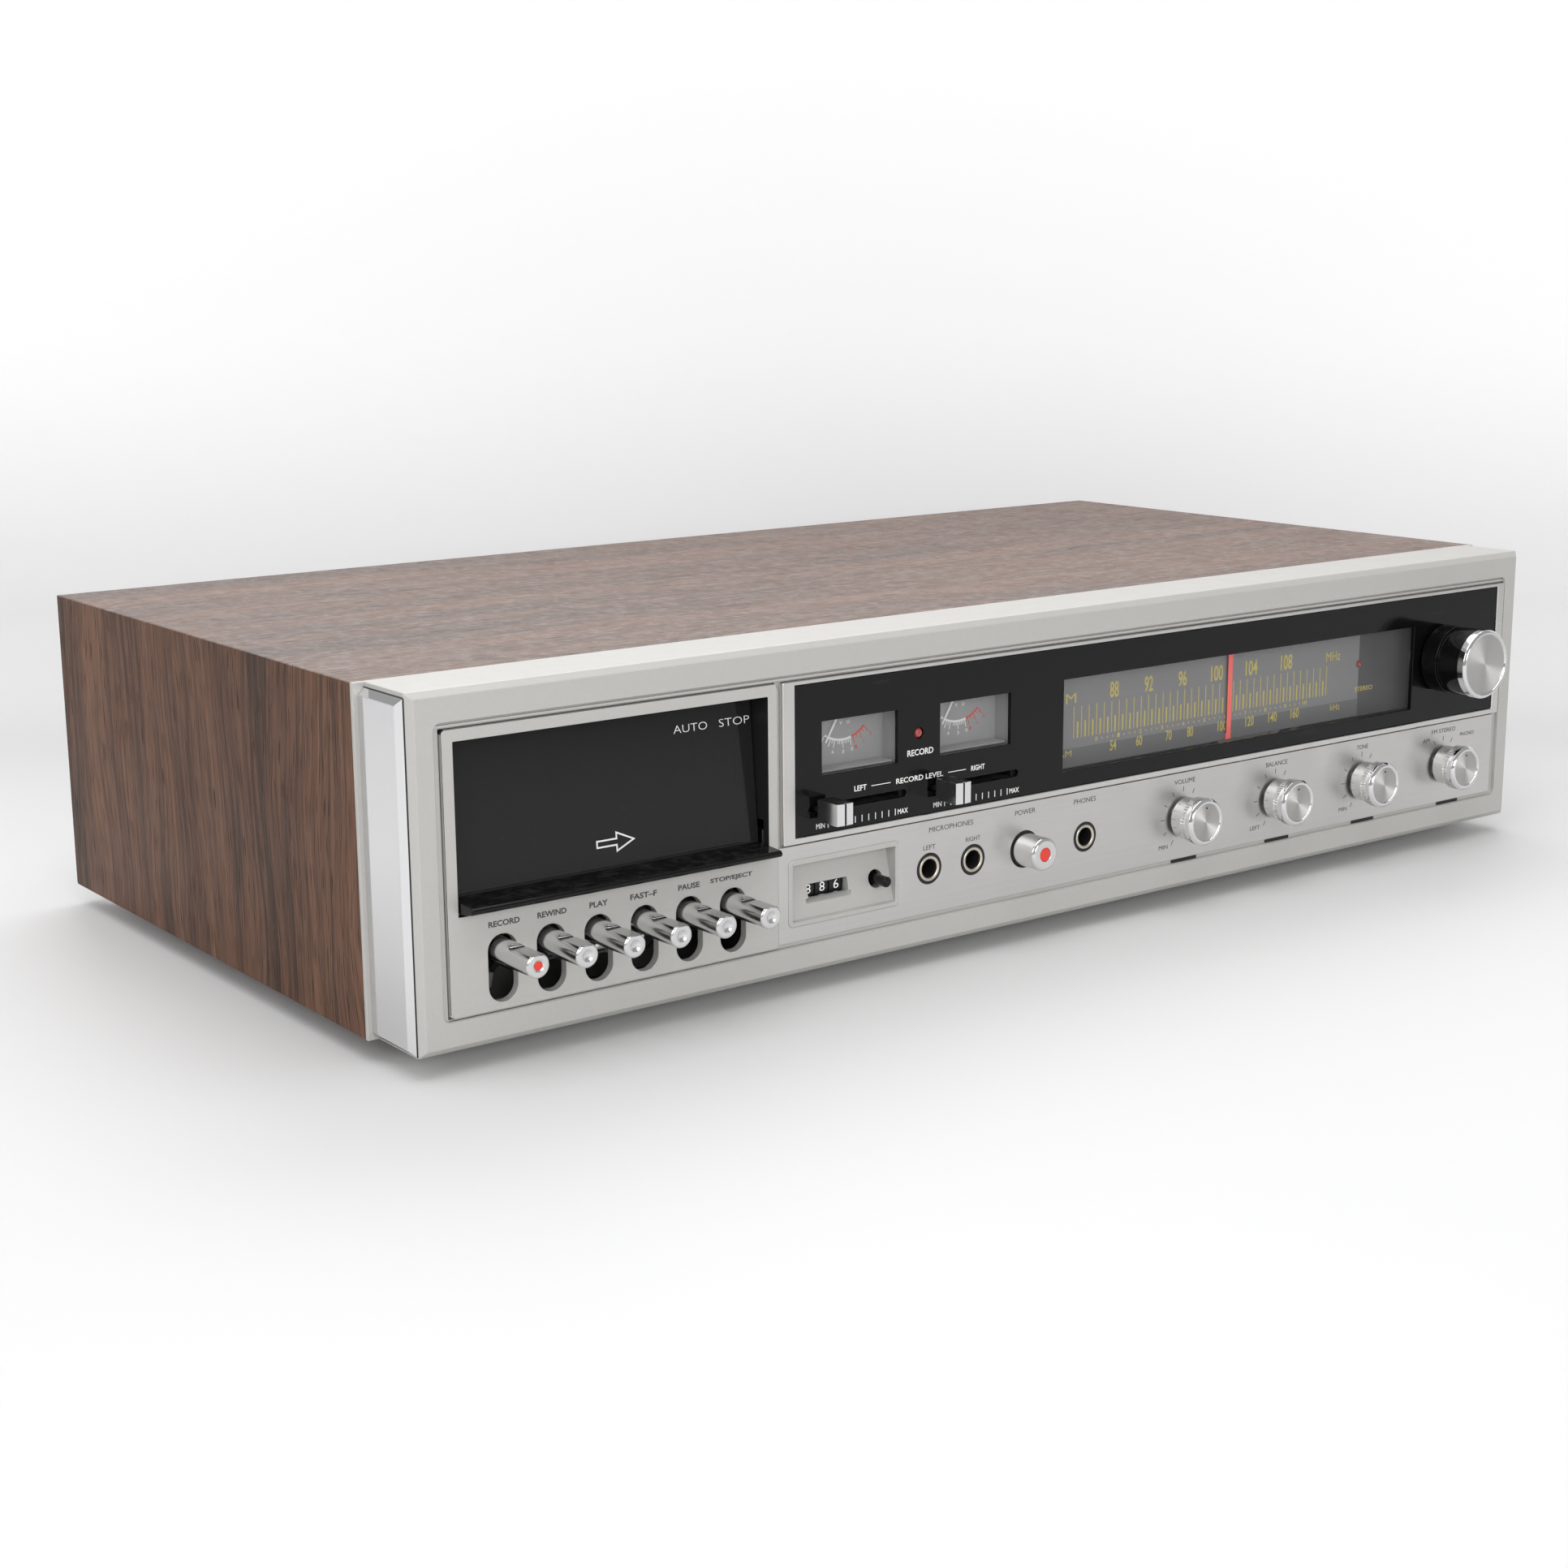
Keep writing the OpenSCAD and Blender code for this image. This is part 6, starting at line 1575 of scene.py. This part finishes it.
class RECORDER_OT_stage(bpy.types.Operator):
    """Pale paper backdrop, soft lights and the camera that stands where the photo was taken"""

    bl_idname = "recorder.stage"
    bl_label = "Stage"

    def execute(self, context):
        scene = context.scene
        user = scene.recorder_stage
        scene.view_settings.view_transform = "Standard"

        # Paper that lies flat from near the camera and turns up into a wall behind the cabinet
        ahead = Matrix.Rotation(user.azimuth, 4, "Z")
        eye = PLACE @ Vector(user.stand)
        near, far, cove, head, half = -0.3, user.wall_distance, 0.06, 0.42, 3.5
        sweep = [(near + (far - cove - near) * k / 24, 0.0) for k in range(25)]
        sweep += [
            (far - cove + cove * math.sin(a), cove * (1 - math.cos(a)))
            for a in (0.2, 0.45, 0.7, 0.95, 1.2, 1.4)
        ]
        sweep += [(far, cove + 0.02), (far, head)]
        backdrop = bmesh.new()
        rows = [
            [backdrop.verts.new(Vector((eye.x, eye.y, 0)) + ahead @ Vector((x, d, z)))
             for d, z in sweep]
            for x in (-half, half)
        ]
        for k in range(len(sweep) - 1):
            backdrop.faces.new((rows[0][k], rows[1][k], rows[1][k + 1], rows[0][k + 1]))
        floor = mesh_object("backdrop", backdrop)
        floor.data.shade_smooth()
        made, tree, surface = material("Pale paper", (0.86, 0.86, 0.86), 0.0, 0.6)
        where = place_of(tree)
        cloud = stretched(tree, where, (3, 3, 3), 3)
        height = step(tree, part(tree, where, 2), 0.01, 0.2)
        sheet = mix(tree, cloud, (0.67, 0.672, 0.675), (0.695, 0.693, 0.693))
        sheet = mix(tree, height, sheet, (0.82, 0.818, 0.822))
        tree.links.new(sheet, surface["Base Color"])
        seen = add(tree, "ShaderNodeLightPath").outputs["Is Camera Ray"]
        surface["Emission Color"].default_value = (1.0, 0.995, 1.0, 1.0)
        glow = maths(tree, "MULTIPLY_ADD", height, 0.75, 0.25)
        glow = maths(tree, "MULTIPLY", glow, user.paper_glow)
        tree.links.new(maths(tree, "MULTIPLY", seen, glow), surface["Emission Strength"])
        floor.data.materials.append(made)

        world = bpy.data.worlds.new("studio")
        scene.world = world
        world.use_nodes = True
        tree = world.node_tree
        tree.nodes.clear()
        out = tree.nodes.new("ShaderNodeOutputWorld")
        seen = add(tree, "ShaderNodeLightPath").outputs["Is Camera Ray"]
        level = add(tree, "ShaderNodeMix", {0: seen, 2: user.room, 3: 1.0}).outputs[0]
        back = add(tree, "ShaderNodeBackground", {"Color": (1, 1, 1, 1), "Strength": level})
        tree.links.new(back.outputs[0], out.inputs[0])

        for name, wide, tall, place, aim_z, power in (
            ("overhead", 1.8, 1.8, (-0.3, -0.1, 1.6), 0, user.key_power),
            ("back_light", 1.4, 0.8, (0.55, 0.7, 1.1), 0.1, user.back_power),
            ("left_card", 1.4, 1.0, (-1.7, -0.7, 0.9), 0.05, user.side_power),
            ("front_fill", 1.2, 0.7, (-0.4, -2.1, 0.7), 0.05, user.fill_power),
        ):
            lamp = bpy.data.lights.new(name, "AREA")
            lamp.shape = "RECTANGLE"
            lamp.size, lamp.size_y = wide, tall
            lamp.energy = power
            holder = link(bpy.data.objects.new(name, lamp))
            holder.location = place
            towards = Vector((0, 0, aim_z)) - Vector(place)
            holder.rotation_euler = towards.to_track_quat("-Z", "Y").to_euler()

        camera = bpy.data.cameras.new("camera")
        camera.lens = user.lens
        camera.sensor_width = 36
        camera.clip_start = 0.02
        holder = link(bpy.data.objects.new("camera", camera))
        turn = ahead @ Matrix.Rotation(user.tilt, 4, "X") @ Matrix.Rotation(user.roll, 4, "Z")
        holder.matrix_world = Matrix.Translation(eye) @ turn
        scene.camera = holder
        return {"FINISHED"}


class RECORDER_PT_panel(bpy.types.Panel):
    """Buttons and sizes of the recorder's finish"""

    bl_idname = "RECORDER_PT_panel"
    bl_label = "Radio cassette recorder"
    bl_space_type = "VIEW_3D"
    bl_region_type = "UI"
    bl_category = "Recorder"

    def draw(self, context):
        for operator in OPERATORS:
            self.layout.operator(operator.bl_idname)
        for name in SETTINGS:
            settings = getattr(context.scene, name)
            box = self.layout.box()
            for value in settings.bl_rna.properties.keys():
                if value not in {"rna_type", "name"}:
                    box.prop(settings, value)


OPERATORS = (
    RECORDER_OT_cabinet, RECORDER_OT_deck, RECORDER_OT_keys, RECORDER_OT_transport,
    RECORDER_OT_dial, RECORDER_OT_meters, RECORDER_OT_tuning_knob, RECORDER_OT_strip,
    RECORDER_OT_counter, RECORDER_OT_lettering, RECORDER_OT_rear, RECORDER_OT_electronics,
    RECORDER_OT_stage,
)
SETTINGS = {
    "recorder_cabinet": CabinetSettings, "recorder_front": FrontSettings,
    "recorder_stage": StageSettings,
}


def register():
    for cls in (*SETTINGS.values(), *OPERATORS, RECORDER_PT_panel):
        bpy.utils.register_class(cls)
    for name, settings in SETTINGS.items():
        setattr(bpy.types.Scene, name, PointerProperty(type=settings))


def unregister():
    for name in SETTINGS:
        delattr(bpy.types.Scene, name)
    for cls in (RECORDER_PT_panel, *reversed(OPERATORS), *SETTINGS.values()):
        bpy.utils.unregister_class(cls)


def main():
    register()
    for operator in OPERATORS:
        family, name = operator.bl_idname.split(".")
        getattr(getattr(bpy.ops, family), name)()
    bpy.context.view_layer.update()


if __name__ == "__main__":
    main()
